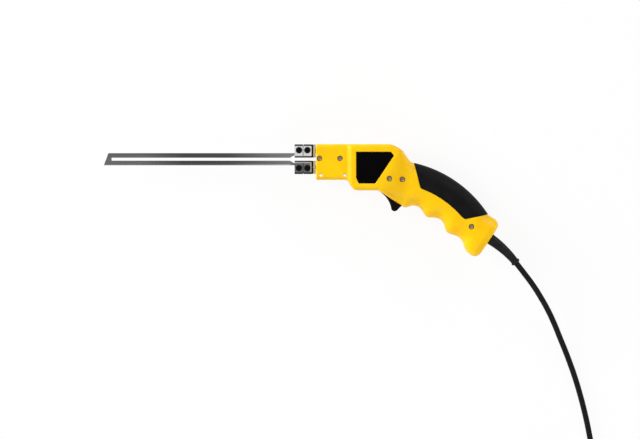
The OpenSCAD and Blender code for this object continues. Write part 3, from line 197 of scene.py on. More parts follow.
# Plastics: dark and light colour, sizes of a patch, a grain and its depth, span of roughness, specular level
PLASTICS = {
    "moulded_yellow": ((0.9, 0.49, 0.0), (0.95, 0.57, 0.001), (22, 0.5, 0.012), (0.34, 0.44), 0.16),
    "grip_rubber": (grey(0.002), grey(0.005), (9, 0.35, 0.03), (0.5, 0.66), 0.065),
    "panel_gloss": (grey(0.0004), grey(0.001), (12, 1.6, 0.004), (0.1, 0.18), 0.025),
    "trigger_plastic": ((0.004, 0.0015, 0.001), (0.007, 0.003, 0.0025), (6, 0.4, 0.015), (0.4, 0.52), 0.045),
    "insulating_board": (grey(0.004), grey(0.01), (3, 0.3, 0.02), (0.5, 0.7), 0.06),
    "phenolic_board": ((0.2, 0.12, 0.05), (0.3, 0.19, 0.09), (5, 0.3, 0.02), (0.45, 0.6), 0.5),
    "natural_nylon": ((0.62, 0.58, 0.47), (0.72, 0.69, 0.6), (6, 0.4, 0.01), (0.4, 0.5), 0.5),
    "sleeve_pvc": (grey(0.012, 0.0125), grey(0.02, 0.021), (5, 0.5, 0.02), (0.36, 0.5), 0.04),
    "cord_pvc": (grey(0.006), grey(0.011), (7, 0.4, 0.02), (0.34, 0.48), 0.05),
    "plug_pvc": (grey(0.008), grey(0.016, 0.017), (6, 0.5, 0.02), (0.42, 0.55), 0.5),
    "plunger_red": ((0.35, 0.02, 0.015), (0.45, 0.03, 0.02), *PLAIN_GRAIN),
    "lead_brown": ((0.16, 0.06, 0.03), (0.22, 0.09, 0.045), *PLAIN_GRAIN),
    "lead_blue": ((0.02, 0.06, 0.25), (0.03, 0.09, 0.34), *PLAIN_GRAIN),
    "lead_black": (grey(0.01), grey(0.02), *PLAIN_GRAIN),
}
# Metals: the same, then how metallic they are and how their grain stretches along the axes
METALS = {
    # The terminal blocks' one metal as two copies, the upper painted lit and the lower painted in shade
    "terminal_painted_lit": (grey(0.56, 0.57), grey(0.7, 0.71), (2, 0.2, 0.006), (0.3, 0.42), 0.5, 1, (12, 1, 1)),
    "terminal_painted_shaded": (grey(0.1, 0.103), grey(0.155, 0.16), (2, 0.2, 0.006), (0.3, 0.45), 0.5, 1, (12, 1, 1)),
    "blade_steel": (grey(0.16, 0.163), grey(0.24, 0.243), (3, 0.25, 0.006), (0.26, 0.42), 0.5, 1, (30, 1, 1)),
    "ground_pin": (grey(0.5, 0.51), grey(0.7, 0.71), (1.5, 0.2, 0.004), (0.2, 0.32), 0.5, 1, (1, 1, 10)),
    "set_screw_steel": (grey(0.002), grey(0.008, 0.009), (1.2, 0.2, 0.01), (0.35, 0.5), 0.1, 0.3),
    "screw_zinc": ((0.2, 0.17, 0.145), (0.32, 0.28, 0.245), (1.5, 0.25, 0.01), (0.28, 0.42), 0.5, 1),
    "plated_brass": ((0.36, 0.35, 0.25), (0.45, 0.44, 0.33), (2.5, 0.25, 0.008), (0.3, 0.44), 0.5, 1),
    "copper_bar": ((0.5, 0.2, 0.1), (0.75, 0.36, 0.2), (4, 0.3, 0.01), (0.25, 0.4), 0.5, 1, (6, 1, 1)),
    "pin_nickel": ((0.6, 0.58, 0.54), (0.74, 0.72, 0.68), (2, 0.2, 0.005), (0.2, 0.32), 0.5, 1, (8, 1, 1)),
}
# Layered materials: dark and light colour, pitch of the layers, axis across them, span of roughness, metal
LAYERED = {
    "laminations": (grey(0.05, 0.055), grey(0.22, 0.23), 0.5, "X", (0.4, 0.55), 0.8),
    "enamelled_wire": ((0.25, 0.06, 0.02), (0.6, 0.22, 0.08), 0.6, "Z", (0.2, 0.3), 0.7),
    "tie_webbing": (grey(0.012), grey(0.035), 0.7, "X", (0.7, 0.85), 0.0),
}
# Painted light and shade on the terminal blocks: painted shade on their sides, then painted bands of shade
# and highlight on their chamfers and back edge
UPPER_SIDE_SHADE, UPPER_CHAMFER_SHADE = grey(0.07, 0.073), grey(0.2)
LOWER_SIDE_SHADE, LOWER_BACK_HIGHLIGHT, LOWER_CHAMFER_SHADE, LOWER_CHAMFER_HIGHLIGHT = grey(0.03, 0.031), grey(0.34), grey(0.13), grey(0.5)
# CAD nodes that show as they are: their material, and the width of the bevel on their edges
NODE_LOOKS = {
    "blade": ("blade_steel", 0.12), "set_screws": ("set_screw_steel", 0.12),
    "terminal_spacers": ("insulating_board", 0.15), "electrode_upper": ("plated_brass", 0.2),
    "electrode_lower": ("plated_brass", 0.2), "electrode_holder": ("phenolic_board", 0),
    "transformer_core": ("laminations", 0), "bobbin": ("natural_nylon", 0),
    "primary_winding": ("enamelled_wire", 0), "secondary_strap": ("copper_bar", 0),
    "trigger_pin": ("ground_pin", 0), "switch_body": ("insulating_board", 0),
    "switch_plunger": ("plunger_red", 0), "cord_clamp": ("insulating_board", 0),
    "clamp_screws": ("screw_zinc", 0), "plug_pins": ("pin_nickel", 0.3),
}
LEAD_LOOKS = [
    ("live", "lead_brown", "lead_a"), ("neutral", "lead_blue", "lead_b"), ("primary", "lead_black", "lead_c"),
]


# Small helpers for numbers and points

def mix(a, b, t):
    return a + (b - a) * t


def held(t):
    return max(0.0, min(1.0, t))


def smooth(t):
    return t * t * (3 - 2 * t)


def sin(a):
    return math.sin(math.radians(a))


def cos(a):
    return math.cos(math.radians(a))


def spread(low, high, count):
    """count + 1 even steps from low to high."""
    return [mix(low, high, i / count) for i in range(count + 1)]


def lookup(table, t):
    if t <= table[0][0]:
        return table[0][1]
    for (t0, v0), (t1, v1) in zip(table, table[1:]):
        if t <= t1:
            return mix(v0, v1, (t - t0) / (t1 - t0))
    return table[-1][1]


def eased(table, t):
    """A table's value, rounded over its corners."""
    weights = {i: EASE_STEPS + 1 - abs(i) for i in range(-EASE_STEPS, EASE_STEPS + 1)}
    total = sum(w * lookup(table, t + EASE_REACH * i / EASE_STEPS) for i, w in weights.items())
    return total / sum(weights.values())


def bezier(a, b, c, t):
    return mix(mix(a, b, t), mix(b, c, t), t)


def corner(a, b, c, r, steps):
    """The corner at b, rounded with an arc."""
    u, v = (a - b).normalized(), (c - b).normalized()
    half = u.angle(v) / 2
    mid = b + (u + v).normalized() * (r / math.sin(half))
    start = b + u * (r / math.tan(half)) - mid
    way = -1 if u.cross(v) > 0 else 1
    turn = way * (math.pi - 2 * half)
    return [mid + Matrix.Rotation(turn * i / steps, 2) @ start for i in range(steps + 1)]


def arc(r, start, end, steps, mid=Vector((0, 0))):
    return [mid + Vector((r * cos(a), r * sin(a))) for a in spread(start, end, steps)]


def quarter(r, steps):
    """A quarter round's steps, as drops from its two sides."""
    return [(r * (1 - cos(a)), r * (1 - sin(a))) for a in spread(0, 90, steps)]


def soft_edge(r):
    """A quarter round in three points."""
    return [(0, r), (r * ROUND_SHARE, r * ROUND_SHARE), (r, 0)]


def rounded(points, r, steps=CORNER_STEPS):
    n = len(points)
    arcs = [corner(points[i - 1], points[i], points[(i + 1) % n], r, steps) for i in range(n)]
    return [p for row in arcs for p in row]


def grown(points, out):
    """A counterclockwise outline moved outward along its corners' normals."""
    n = len(points)
    result = []
    for i, p in enumerate(points):
        a = (p - points[i - 1]).normalized()
        b = (points[(i + 1) % n] - p).normalized()
        result.append(p + Vector((a.y + b.y, -a.x - b.x)).normalized() * out)
    return result


# Mesh helpers

def add_object(name, mesh):
    piece = bpy.data.objects.new(name, mesh)
    scene.collection.objects.link(piece)
    return piece


def mesh_piece(name, points, faces):
    """A mesh object from points in millimetres, with its faces turned outward."""
    mesh = bpy.data.meshes.new(name)
    mesh.from_pydata([Vector(p) * MM for p in points], [], faces)
    bm = bmesh.new()
    bm.from_mesh(mesh)
    bmesh.ops.recalc_face_normals(bm, faces=bm.faces)
    bm.to_mesh(mesh)
    bm.free()
    return add_object(name, mesh)


def skin(name, rings, closed=False):
    """A skin over a row of rings, which closes on itself or ends in two caps."""
    n, m = len(rings), len(rings[0])
    faces = []
    for i in range(n if closed else n - 1):
        near, far = i * m, (i + 1) % n * m
        for j in range(m):
            k = (j + 1) % m
            faces.append((near + j, near + k, far + k, far + j))
    if not closed:
        faces.append(tuple(range(m)))
        faces.append(tuple((n - 1) * m + j for j in range(m)))
    return mesh_piece(name, [p for ring in rings for p in ring], faces)


def prism(name, layers):
    """A solid over outlines at rising heights, each given as (points, height)."""
    return skin(name, [[(p[0], p[1], z) for p in points] for points, z in layers])


def lathe(name, profile, place=(0, 0, 0), steps=TURN_STEPS):
    """A solid turned about a vertical axis, from a profile of (radius, height) with both ends closed."""
    x, y, z = place
    rings = [
        [(x + r * cos(360 * j / steps), y + r * sin(360 * j / steps), z + h) for j in range(steps)]
        for r, h in profile
    ]
    return skin(name, rings)


def box(name, low, high):
    (x0, y0, z0), (x1, y1, z1) = low, high
    outline = [(x0, y0), (x1, y0), (x1, y1), (x0, y1)]
    return prism(name, [(outline, z0), (outline, z1)])


def settle(piece):
    """Applies the piece's modifiers to its mesh."""
    depsgraph = bpy.context.evaluated_depsgraph_get()
    mesh = bpy.data.meshes.new_from_object(piece.evaluated_get(depsgraph))
    piece.modifiers.clear()
    piece.data = mesh


def modify(piece, kind, **settings):
    modifier = piece.modifiers.new(kind.lower(), kind)
    for key, value in settings.items():
        setattr(modifier, key, value)


def combine(piece, tools, operation="DIFFERENCE"):
    """Cuts tools out of a piece, or joins them to it, and removes them."""
    for tool in tools:
        modify(piece, "BOOLEAN", operation=operation, solver="MANIFOLD", object=tool)
        settle(piece)
        bpy.data.objects.remove(tool)
    return cleaned(piece)


def cleaned(piece):
    """Takes out the slivers that cuts leave along their edges, and turns all faces outward."""
    bm = bmesh.new()
    bm.from_mesh(piece.data)
    bmesh.ops.remove_doubles(bm, verts=bm.verts, dist=SLIVER * MM)
    bmesh.ops.dissolve_degenerate(bm, edges=bm.edges, dist=SLIVER * MM)
    bmesh.ops.recalc_face_normals(bm, faces=bm.faces)
    bm.to_mesh(piece.data)
    bm.free()
    return piece


def joined(name, pieces):
    """One object from several, without a boolean."""
    bm = bmesh.new()
    for piece in pieces:
        bm.from_mesh(piece.data)
        bpy.data.objects.remove(piece)
    mesh = bpy.data.meshes.new(name)
    bm.to_mesh(mesh)
    bm.free()
    return add_object(name, mesh)


def shade(piece, angle=SMOOTH_ANGLE):
    """Smooth shading that keeps edges sharper than an angle, and flat faces flat."""
    piece.data.shade_smooth()
    piece.data.set_sharp_from_angle(angle=math.radians(angle))
    modify(piece, "WEIGHTED_NORMAL", keep_sharp=True)
    return piece


def placed(piece, matrix):
    piece.data.transform(matrix)
    if matrix.determinant() < 0:
        piece.data.flip_normals()
    return piece


def raised(piece, flip=False):
    """Moves a piece made about the parting plane to its place, mirrored for the right half."""
    side = Matrix.Diagonal((1, 1, -1 if flip else 1, 1))
    return placed(piece, Matrix.Translation((0, 0, PARTING * MM)) @ side)


# Material helpers

def node_tree(name):
    material = bpy.data.materials.new(name)
    material.use_nodes = True
    tree = material.node_tree
    return material, tree, tree.nodes["Principled BSDF"]


def set_node(tree, node, **settings):
    """Sets a node's properties, and sets its inputs to values or links them to sockets."""
    for key, value in settings.items():
        if hasattr(node, key):
            setattr(node, key, value)
        elif isinstance(value, bpy.types.NodeSocket):
            tree.links.new(value, node.inputs[key.replace("_", " ")])
        else:
            node.inputs[key.replace("_", " ")].default_value = value
    return node


def add_node(tree, kind, **settings):
    return set_node(tree, tree.nodes.new("ShaderNode" + kind), **settings)


def noise(tree, size, stretch=EVEN, detail=3.0):
    """Noise with grains of a size in millimetres, stretched along the object's axes."""
    place = add_node(tree, "TexCoord").outputs["Object"]
    mapping = add_node(tree, "Mapping", Vector=place, Scale=[1 / (size * MM * s) for s in stretch])
    texture = add_node(tree, "TexNoise", Vector=mapping.outputs["Vector"], Scale=1.0, Detail=detail)
    return texture.outputs["Fac"]


def map_range(tree, value, low, high, to=(0.0, 1.0)):
    """A value's run from low to high, spread over another span."""
    node = add_node(tree, "MapRange", Value=value, From_Min=low, From_Max=high, To_Min=to[0], To_Max=to[1])
    return node.outputs["Result"]


def maths(tree, operation, *values):
    node = add_node(tree, "Math", operation=operation)
    for value, socket in zip(values, node.inputs):
        tree.links.new(value, socket)
    return node.outputs[0]


def ramp(tree, value, stops):
    """Colours by a value, from stops of (place, colour)."""
    stops = list(stops)
    node = add_node(tree, "ValToRGB", Fac=value)
    elements = node.color_ramp.elements
    while len(elements) < len(stops):
        elements.new(0.5)
    for element, (place, colour) in zip(elements, stops):
        element.position = place
        element.color = (*colour, 1)
    return node.outputs["Color"]


def raise_grain(tree, shader, height, depth):
    """A bump of a depth in millimetres."""
    bump = add_node(tree, "Bump", Strength=1.0, Distance=depth * MM, Height=height)
    set_node(tree, shader, Normal=bump.outputs["Normal"])


def surface(name, dark, light, sizes, rough, specular, metal=0, stretch=EVEN):
    """A material whose colour and gloss drift over patches, with a fine grain raised on it."""
    material, tree, shader = node_tree(name)
    patch, grain, depth = sizes
    colour = ramp(tree, noise(tree, patch, stretch), zip(DRIFT, (dark, light)))
    fine = noise(tree, grain, stretch, detail=2.0)
    gloss = map_range(tree, fine, *DRIFT, rough)
    set_node(tree, shader, Base_Color=colour, Roughness=gloss, Metallic=metal, Specular_IOR_Level=specular)
    raise_grain(tree, shader, fine, depth)
    return material


def blended(material, mask, colour):
    """Mixes a colour over a material's base colour where a mask is white."""
    tree = material.node_tree
    base = tree.nodes["Principled BSDF"].inputs["Base Color"]
    blend = add_node(tree, "Mix", data_type="RGBA", Factor=mask)
    under, over = [s for s in blend.inputs if s.type == "RGBA"]
    tree.links.new(base.links[0].from_socket, under)
    over.default_value = (*colour, 1)
    tree.links.new(next(s for s in blend.outputs if s.type == "RGBA"), base)


def painted_edge_highlight(material):
    """Lightens a material along its raised edges with a painted highlight."""
    tree = material.node_tree
    edges = add_node(tree, "NewGeometry").outputs["Pointiness"]
    blended(material, ramp(tree, edges, zip(EDGE_HIGHLIGHT_STOPS, (BLACK, WHITE))), EDGE_HIGHLIGHT)


def split_axes(tree, output):
    place = add_node(tree, "TexCoord").outputs[output]
    return add_node(tree, "SeparateXYZ", Vector=place).outputs


def painted_side_shade(material, colour):
    """Leaves a material's ground faces as they are, and paints shade on the chamfers and sides round them."""
    tree = material.node_tree
    facing = maths(tree, "ABSOLUTE", split_axes(tree, "Normal")["Z"])
    blended(material, ramp(tree, facing, zip(FACING_STOPS, (WHITE, BLACK))), colour)


def painted_band(material, axis, low, high, colour):
    """Paints a band of a colour between two places along an axis, in millimetres: painted highlights and
    painted shade on the terminal blocks' chamfers and back edge.
    """
    tree = material.node_tree
    place = split_axes(tree, "Object")[axis]
    sides = [
        map_range(tree, place, (limit - soft) * MM, (limit + soft) * MM)
        for limit, soft in ((low, PAINTED_BAND_SOFT), (high, -PAINTED_BAND_SOFT))
    ]
    blended(material, maths(tree, "MULTIPLY", *sides), colour)


def painted_blade_shade(material):
    """Darkens the blade's middle with painted shade, less towards both ends."""
    tree = material.node_tree
    run = map_range(tree, split_axes(tree, "Object")["X"], BLADE_TIP_X * MM, TERMINAL_X * MM)
    blended(material, ramp(tree, run, [(place, grey(share)) for place, share in BLADE_SHADE_SHARES]), BLADE_SHADE)


def layered(name, dark, light, pitch, axis, rough, metal):
    """A material in even layers across one axis, such as laminations or a winding."""
    material, tree, shader = node_tree(name)
    place = add_node(tree, "TexCoord").outputs["Object"]
    # The texture's bands are pi / 10 apart at a scale of 1
    scale = math.pi / 10 / (pitch * MM)
    wave = add_node(tree, "TexWave", bands_direction=axis, Vector=place, Scale=scale)
    layers = set_node(tree, wave, Distortion=0.4, Detail=1.0).outputs["Fac"]
    gloss = map_range(tree, noise(tree, LAYER_GRAIN), *DRIFT, rough)
    colour = ramp(tree, layers, zip(LAYER_STOPS, (dark, light)))
    set_node(tree, shader, Base_Color=colour, Roughness=gloss, Metallic=metal)
    raise_grain(tree, shader, layers, LAYER_DEPTH)
    return material


block_inner_y = BAR_Y - TERMINAL_H / 2
block_face_y = block_inner_y + TERMINAL_CHAMFER
block_back_x = TERMINAL_X + TERMINAL_LEN
# Where the painted shade on the lower block's inner chamfer meets its painted highlight line
painted_line_y = block_inner_y + PAINTED_LINE_IN


def make_materials():
    """Every material, by its name."""
    made = {name: surface(name, *look) for name, look in (PLASTICS | METALS).items()}
    made |= {name: layered(name, *look) for name, look in LAYERED.items()}
    # A painted highlight along the yellow housing's raised edges
    painted_edge_highlight(made["moulded_yellow"])
    # Painted shade along the blade's middle
    painted_blade_shade(made["blade_steel"])
    # Both terminal blocks are one metal, painted as a lit copy and a shaded copy, each with painted shade on
    # its sides and painted bands of shade and highlight
    lit_metal, shaded_metal = made["terminal_painted_lit"], made["terminal_painted_shaded"]
    painted_side_shade(lit_metal, UPPER_SIDE_SHADE)
    painted_band(lit_metal, "Y", block_inner_y, block_face_y, UPPER_CHAMFER_SHADE)
    painted_band(shaded_metal, "X", block_back_x - PAINTED_BACK_W, block_back_x, LOWER_BACK_HIGHLIGHT)
    painted_side_shade(shaded_metal, LOWER_SIDE_SHADE)
    painted_band(shaded_metal, "Y", -painted_line_y, -block_inner_y, LOWER_CHAMFER_SHADE)
    painted_band(shaded_metal, "Y", -painted_line_y - PAINTED_LINE_W, -painted_line_y, LOWER_CHAMFER_HIGHLIGHT)
    return made


# Camera, light and floor

def make_camera():
    data = bpy.data.cameras.new("camera")
    data.lens = LENS
    data.sensor_width = SENSOR
    data.sensor_fit = "HORIZONTAL"
    data.clip_end = VIEW_END
    camera = add_object("camera", data)
    camera.location = Vector((*VIEW_MID, PARTING + VIEW_W * LENS / SENSOR)) * MM
    scene.camera = camera


def background_rays(tree):
    """Is 1 for rays that show the background: straight to the camera, or in a metal or a clear piece."""
    path = add_node(tree, "LightPath")
    value = path.outputs["Is Camera Ray"]
    for name in ("Is Glossy Ray", "Is Transmission Ray"):
        value = maths(tree, "MAXIMUM", value, path.outputs[name])
    return value


def swapped(tree, factor, first, second, output):
    """Shows a second shader in place of the first, by a factor."""
    swap = add_node(tree, "MixShader")
    for value, socket in zip((factor, first.outputs[0], second.outputs[0]), swap.inputs):
        tree.links.new(value, socket)
    set_node(tree, tree.nodes[output], Surface=swap.outputs["Shader"])


def make_light():
    """A sky that is brightest overhead, as under a soft box, with lamps at the sides."""
    world = bpy.data.worlds.new("studio")
    scene.world = world
    world.use_nodes = True
    tree = world.node_tree
    levels = [(height, grey(level)) for height, level in SKY]
    colour = ramp(tree, split_axes(tree, "Generated")["Z"], levels)
    sky = set_node(tree, tree.nodes["Background"], Color=colour)
    paper = add_node(tree, "Background", Color=(*WHITE, 1))
    swapped(tree, background_rays(tree), sky, paper, "World Output")
    for name, look in LAMPS.items():
        lamp(name, *look)


def lamp(name, place, size, power):
    data = bpy.data.lights.new(name, "AREA")
    data.shape = "DISK"
    data.size = size
    data.energy = power
    light = add_object(name, data)
    light.location = place
    target = Vector((*VIEW_MID, PARTING)) * MM
    light.rotation_euler = (target - Vector(place)).to_track_quat("-Z", "Y").to_euler()


def make_floor():
    """A pale floor that keeps a soft shadow and reads as white paper."""
    floor = box("floor", (-FLOOR_SIDE, -FLOOR_SIDE, -FLOOR_T), (FLOOR_SIDE, FLOOR_SIDE, -FLOOR_GAP))
    material, tree, shader = node_tree("paper")
    colour = ramp(tree, noise(tree, PAPER_GRAIN), zip(DRIFT, map(grey, PAPER_LEVELS)))
    set_node(tree, shader, Base_Color=colour, Roughness=PAPER_ROUGH)
    glow = add_node(tree, "Emission", Strength=1.0)
    share = map_range(tree, background_rays(tree), 0.0, 1.0, (0.0, PAPER_SHARE))
    swapped(tree, share, shader, glow, "Material Output")
    floor.data.materials.append(material)


# The housing's stations: back point, finger point, half width, edge radius and wall

front_x = -(NOSE_LEN + STEP_LEN + BODY_FRONT)
step_x = front_x + NOSE_LEN
body_x = step_x + STEP_LEN
sweep_mid = Vector((
    HANDLE_X - BACK_R * sin(HANDLE_FROM), TOP_RISE - SHOULDER_DROP - BACK_R * cos(HANDLE_FROM),
))


def polar(r, a):
    return sweep_mid + Vector((r * sin(a), r * cos(a)))


def handle_place(arc_share, depth_share, depth=HANDLE_DEPTH):
    """A place in the handle, as shares of its back's arc and of a depth below its back."""
    return polar(BACK_R - depth * depth_share, mix(HANDLE_FROM, BACK_TO, arc_share))


def finger_at(a):
    t = max((a - HANDLE_FROM) / (FINGER_PITCH * FINGERS), 0)
    turn = 360 * (a - FINGER_FIRST) / FINGER_PITCH
    groove = FINGER_DEPTH * (1 - cos(turn + GROOVE_TURN * sin(turn))) / 2
    return BACK_R - HANDLE_DEPTH + FINGER_SWELL * t ** SWELL_POWER + groove


handle_top = polar(BACK_R, HANDLE_FROM)
chin = polar(finger_at(HANDLE_FROM), HANDLE_FROM)
shoulder_x = handle_top.x - SHOULDER_LEN
flat_x = shoulder_x + SHOULDER_LEN * FLAT_SHARE
slot_start = Vector((body_x + BOTTOM_LEN, -BODY_DROP))
slot_way = (chin - slot_start).normalized()
slot_in = Vector((-slot_way.y, slot_way.x))
pivot = slot_start + slot_way * PIVOT_RUN + slot_in * PIVOT_DEPTH
exit_way = Vector((cos(EXIT_SLOPE), -sin(EXIT_SLOPE)))
exit_side = Vector((sin(EXIT_SLOPE), cos(EXIT_SLOPE)))
back_end = polar(BACK_R, BACK_TO)
relief_end = RELIEF_LEN + COLLAR_LEN


def top_y(x):
    return TOP_RISE - SHOULDER_DROP * eased(SHOULDER_SHARES, (x - shoulder_x) / SHOULDER_LEN)


def bottom_y(x):
    return -mix(NOSE_DROP, BODY_DROP, eased(STEP_SHARES, (x - step_x) / STEP_LEN))


def butt_point(reach, off):
    return back_end + exit_way * reach + exit_side * off


def nose_stations():
    turns = quarter(NOSE_BEVEL, BEVEL_ROWS)
    turns += [(run, 0) for run in spread(NOSE_BEVEL * 3, NOSE_LEN - NOSE_BEVEL, NOSE_ROWS)]
    rows = []
    for run, drop in turns:
        back, finger = Vector((front_x + run, TOP_RISE - drop)), Vector((front_x + run, drop - NOSE_DROP))
        rows.append((back, finger, NOSE_HW - drop, NOSE_EDGE, WALL))
    return rows


def step_stations():
    rows = []
    for t in spread(0, *STEP_ROWS):
        x = mix(step_x, body_x, t)
        s = smooth(held(t / SIDE_STEP_SHARE))
        edge, half = mix(NOSE_EDGE, BODY_EDGE, s), mix(NOSE_HW, BODY_HW, s)
        rows.append((Vector((x, TOP_RISE)), Vector((x, bottom_y(x))), half, edge, WALL))
    return rows


def body_stations():
    rows = []
    for t in spread(0, *BODY_ROWS):
        u, low = mix(body_x, flat_x, t), mix(body_x, slot_start.x, t)
        rows.append((Vector((u, top_y(u))), Vector((low, bottom_y(low))), BODY_HW, BODY_EDGE, WALL))
    return rows


def shoulder_stations():
    rows = []
    for t in spread(0, *SHOULDER_ROWS):
        u, s = mix(flat_x, handle_top.x, t), smooth(t)
        rows.append((
            Vector((u, top_y(u))), mix(slot_start, chin, t), mix(BODY_HW, HANDLE_HW, s),
            mix(BODY_EDGE, HANDLE_EDGE, s), mix(WALL, HANDLE_WALL, t),
        ))
    return rows


def handle_stations():
    flare = butt_point(BUTT_LEN - BUTT_R, BUTT_RISE)
    heel = butt_point(BUTT_LEN - BUTT_R, -BUTT_DROP)
    heel_way = heel - sweep_mid
    heel_angle = math.degrees(math.atan2(heel_way.x, heel_way.y))
    knee_angle = mix(HANDLE_FROM, heel_angle, HEEL_SHARE)
    knee = polar(finger_at(knee_angle), knee_angle)
    rows = []
    for t in spread(0, 1, HANDLE_ROWS):
        if t < HEEL_SHARE:
            a = mix(HANDLE_FROM, heel_angle, t)
            finger = polar(finger_at(a), a)
        else:
            finger = bezier(knee, heel - exit_way * HEEL_LEAD, heel, (t - HEEL_SHARE) / (1 - HEEL_SHARE))
        if t < BUTT_SHARE:
            back = polar(BACK_R, mix(HANDLE_FROM, BACK_TO, t / BUTT_SHARE))
        else:
            back = mix(back_end, flare, (t - BUTT_SHARE) / (1 - BUTT_SHARE))
        rows.append((back, finger, HANDLE_HW, HANDLE_EDGE, HANDLE_WALL))
    return rows


def butt_stations(reach_from, turns):
    rows = []
    for a in turns:
        drop, reach = BUTT_R * (1 - cos(a)), reach_from + BUTT_R * sin(a)
        rows.append((
            butt_point(reach, BUTT_RISE - drop), butt_point(reach, drop - BUTT_DROP), HANDLE_HW - drop,
            HANDLE_EDGE - drop, HANDLE_WALL,
        ))
    return rows


def half_ring(station, inset, low, steps=ARC_STEPS):
    """Half of a station's outline, from the parting plane out to the side and back to that plane."""
    back, finger, half, edge, _ = station
    axis = (back - finger).normalized()
    mid = (back + finger) / 2
    h, w = (back - finger).length / 2 - inset, half - inset
    r = max(edge - inset, LEAST_EDGE)
    one = [(h, low)] if low < 0 else [(h - u, z) for z, u in soft_edge(SEAM)]
    one += [(h - u, w - v) for u, v in quarter(r, steps)]
    one += [(mix(h - r, 0, t), w) for t in spread(*SIDE_ROWS)]
    flat = one + [(-u, z) for u, z in reversed(one)]
    return [(mid.x + axis.x * u, mid.y + axis.y * u, z) for u, z in flat]


front_rows = nose_stations() + step_stations() + body_stations() + shoulder_stations()
handle_rows = handle_stations()
outer_rows = front_rows + handle_rows + butt_stations(BUTT_LEN - BUTT_R, spread(BUTT_TURN, 90, BUTT_ROWS))


def hollow_half():
    """The hollow inside one half, from behind the front wall to inside the butt."""
    x = front_x + FRONT_WALL
    first = (Vector((x, TOP_RISE)), Vector((x, -NOSE_DROP)), NOSE_HW, NOSE_EDGE, WALL)
    last = butt_stations(BUTT_LEN - HANDLE_WALL - BUTT_R, HOLLOW_TURNS)
    rows = [first] + front_rows[HOLLOW_FRONT] + handle_rows[HOLLOW_HANDLE] + last
    return skin("hollow", [half_ring(s, s[4], -OVER, HOLLOW_STEPS) for s in rows])


# Grip pads

def pad_place(arc_share, depth_share):
    return handle_place(arc_share, depth_share, GRIP_DEPTH)


def pad_outline():
    front, rear = pad_place(*PAD_FRONT), pad_place(*PAD_REAR)
    front_low, rear_low = pad_place(*PAD_FRONT_LOW), pad_place(*PAD_REAR_LOW)
    low = [pad_place(t, 1) for t in spread(*PAD_LOW)]
    front_out = front + (front - front_low).normalized() * GRIP_DEPTH
    rear_out = rear + (rear - pad_place(*PAD_REAR_AIM)).normalized() * GRIP_DEPTH
    front_corner = corner(front, front_low, low[0], GRIP_CORNER, CORNER_STEPS)
    rear_corner = corner(low[-1], rear_low, rear, GRIP_CORNER / 2, CORNER_STEPS)
    return [front_out] + front_corner + low + rear_corner + [rear_out]


def pad_rows():
    return front_rows[-PAD_LEAD_ROWS:] + handle_rows[:-PAD_END_ROWS]


def pad_zone(name, out):
    outline = grown(pad_outline(), out)
    return prism(name, [(outline, -OVER), (outline, BODY_HW)])


def pad_pocket():
    """What is cut from a half for its grip pad."""
    core = skin("core", [half_ring(s, GRIP_T, -OVER * 2) for s in pad_rows()])
    return combine(pad_zone("pocket", 0), [core])


def grip_pad(name, flip):
    """A soft pad with round edges, which fills its pocket and stands a little proud."""
    rings = []
    for s in pad_rows():
        outer = half_ring(s, -GRIP_PROUD, 0)
        inner = half_ring(s, GRIP_T - PAD_GAP, 0)
        rings.append(outer + inner[::-1])
    pad = skin(name, rings)
    combine(pad, [pad_zone("zone", -PAD_GAP)], "INTERSECT")
    modify(pad, "REMESH", mode="VOXEL", voxel_size=PAD_VOXEL * MM)
    modify(pad, "SMOOTH", factor=PAD_SOFT, iterations=PAD_SOFT_TIMES)
    settle(pad)
    pad.data.shade_smooth()
    return raised(pad, flip)


# The two halves of the housing

def screw_places():
    """Places of the housing's screws, each with the height of the housing's side there."""
    places = [(front_x + NOSE_SCREW_IN + i * NOSE_SCREW_PITCH, NOSE_SCREW_RISE, NOSE_HW) for i in (0, 1)]
    for run, depth, side in SLOT_SCREW_SHARES:
        p = mix(slot_start, chin, run) + slot_in * (TOP_RISE + BODY_DROP) * depth
        places.append((p.x, p.y, mix(BODY_HW, HANDLE_HW, side)))
    p = butt_point(-BUTT_SCREW_BACK, -BUTT_SCREW_DROP)
    return places + [(p.x, p.y, HANDLE_HW)]


SCREWS = screw_places()


def seat_z(screw):
    return screw[2] - SCREW_SUNK - SCREW_HEAD_H


def panel_outline():
    x, y = body_x, PANEL_RISE - BODY_DROP
    points = [Vector((x + u * PANEL_LEN, y + v * PANEL_H)) for u, v in PANEL_SHARES]
    return rounded(points[::-1], PANEL_CORNER)


def at_pivot(piece):
    turn = math.atan2(slot_way.y, slot_way.x)
    return placed(piece, Matrix.Translation((pivot.x * MM, pivot.y * MM, 0)) @ Matrix.Rotation(turn, 4, "Z"))


def along_exit(piece, reach):
    """Turns a piece made about the vertical axis to lie along the cord's way out."""
    place = butt_point(reach, -EXIT_DROP)
    aim = Vector((exit_way.x, exit_way.y, 0)).to_track_quat("Z", "Y").to_matrix().to_4x4()
    return placed(piece, Matrix.Translation((place.x * MM, place.y * MM, 0)) @ aim)


def bosses():
    posts = [(x, y, z, BOSS_R) for x, y, z in SCREWS]
    posts += [(x, y, NOSE_HW, GUIDE_BOSS_R) for x, y in GUIDE_PLACES]
    return [lathe("boss", [(r, BOSS_GAP), (r, z - WALL / 2)], (x, y, 0)) for x, y, z, r in posts]


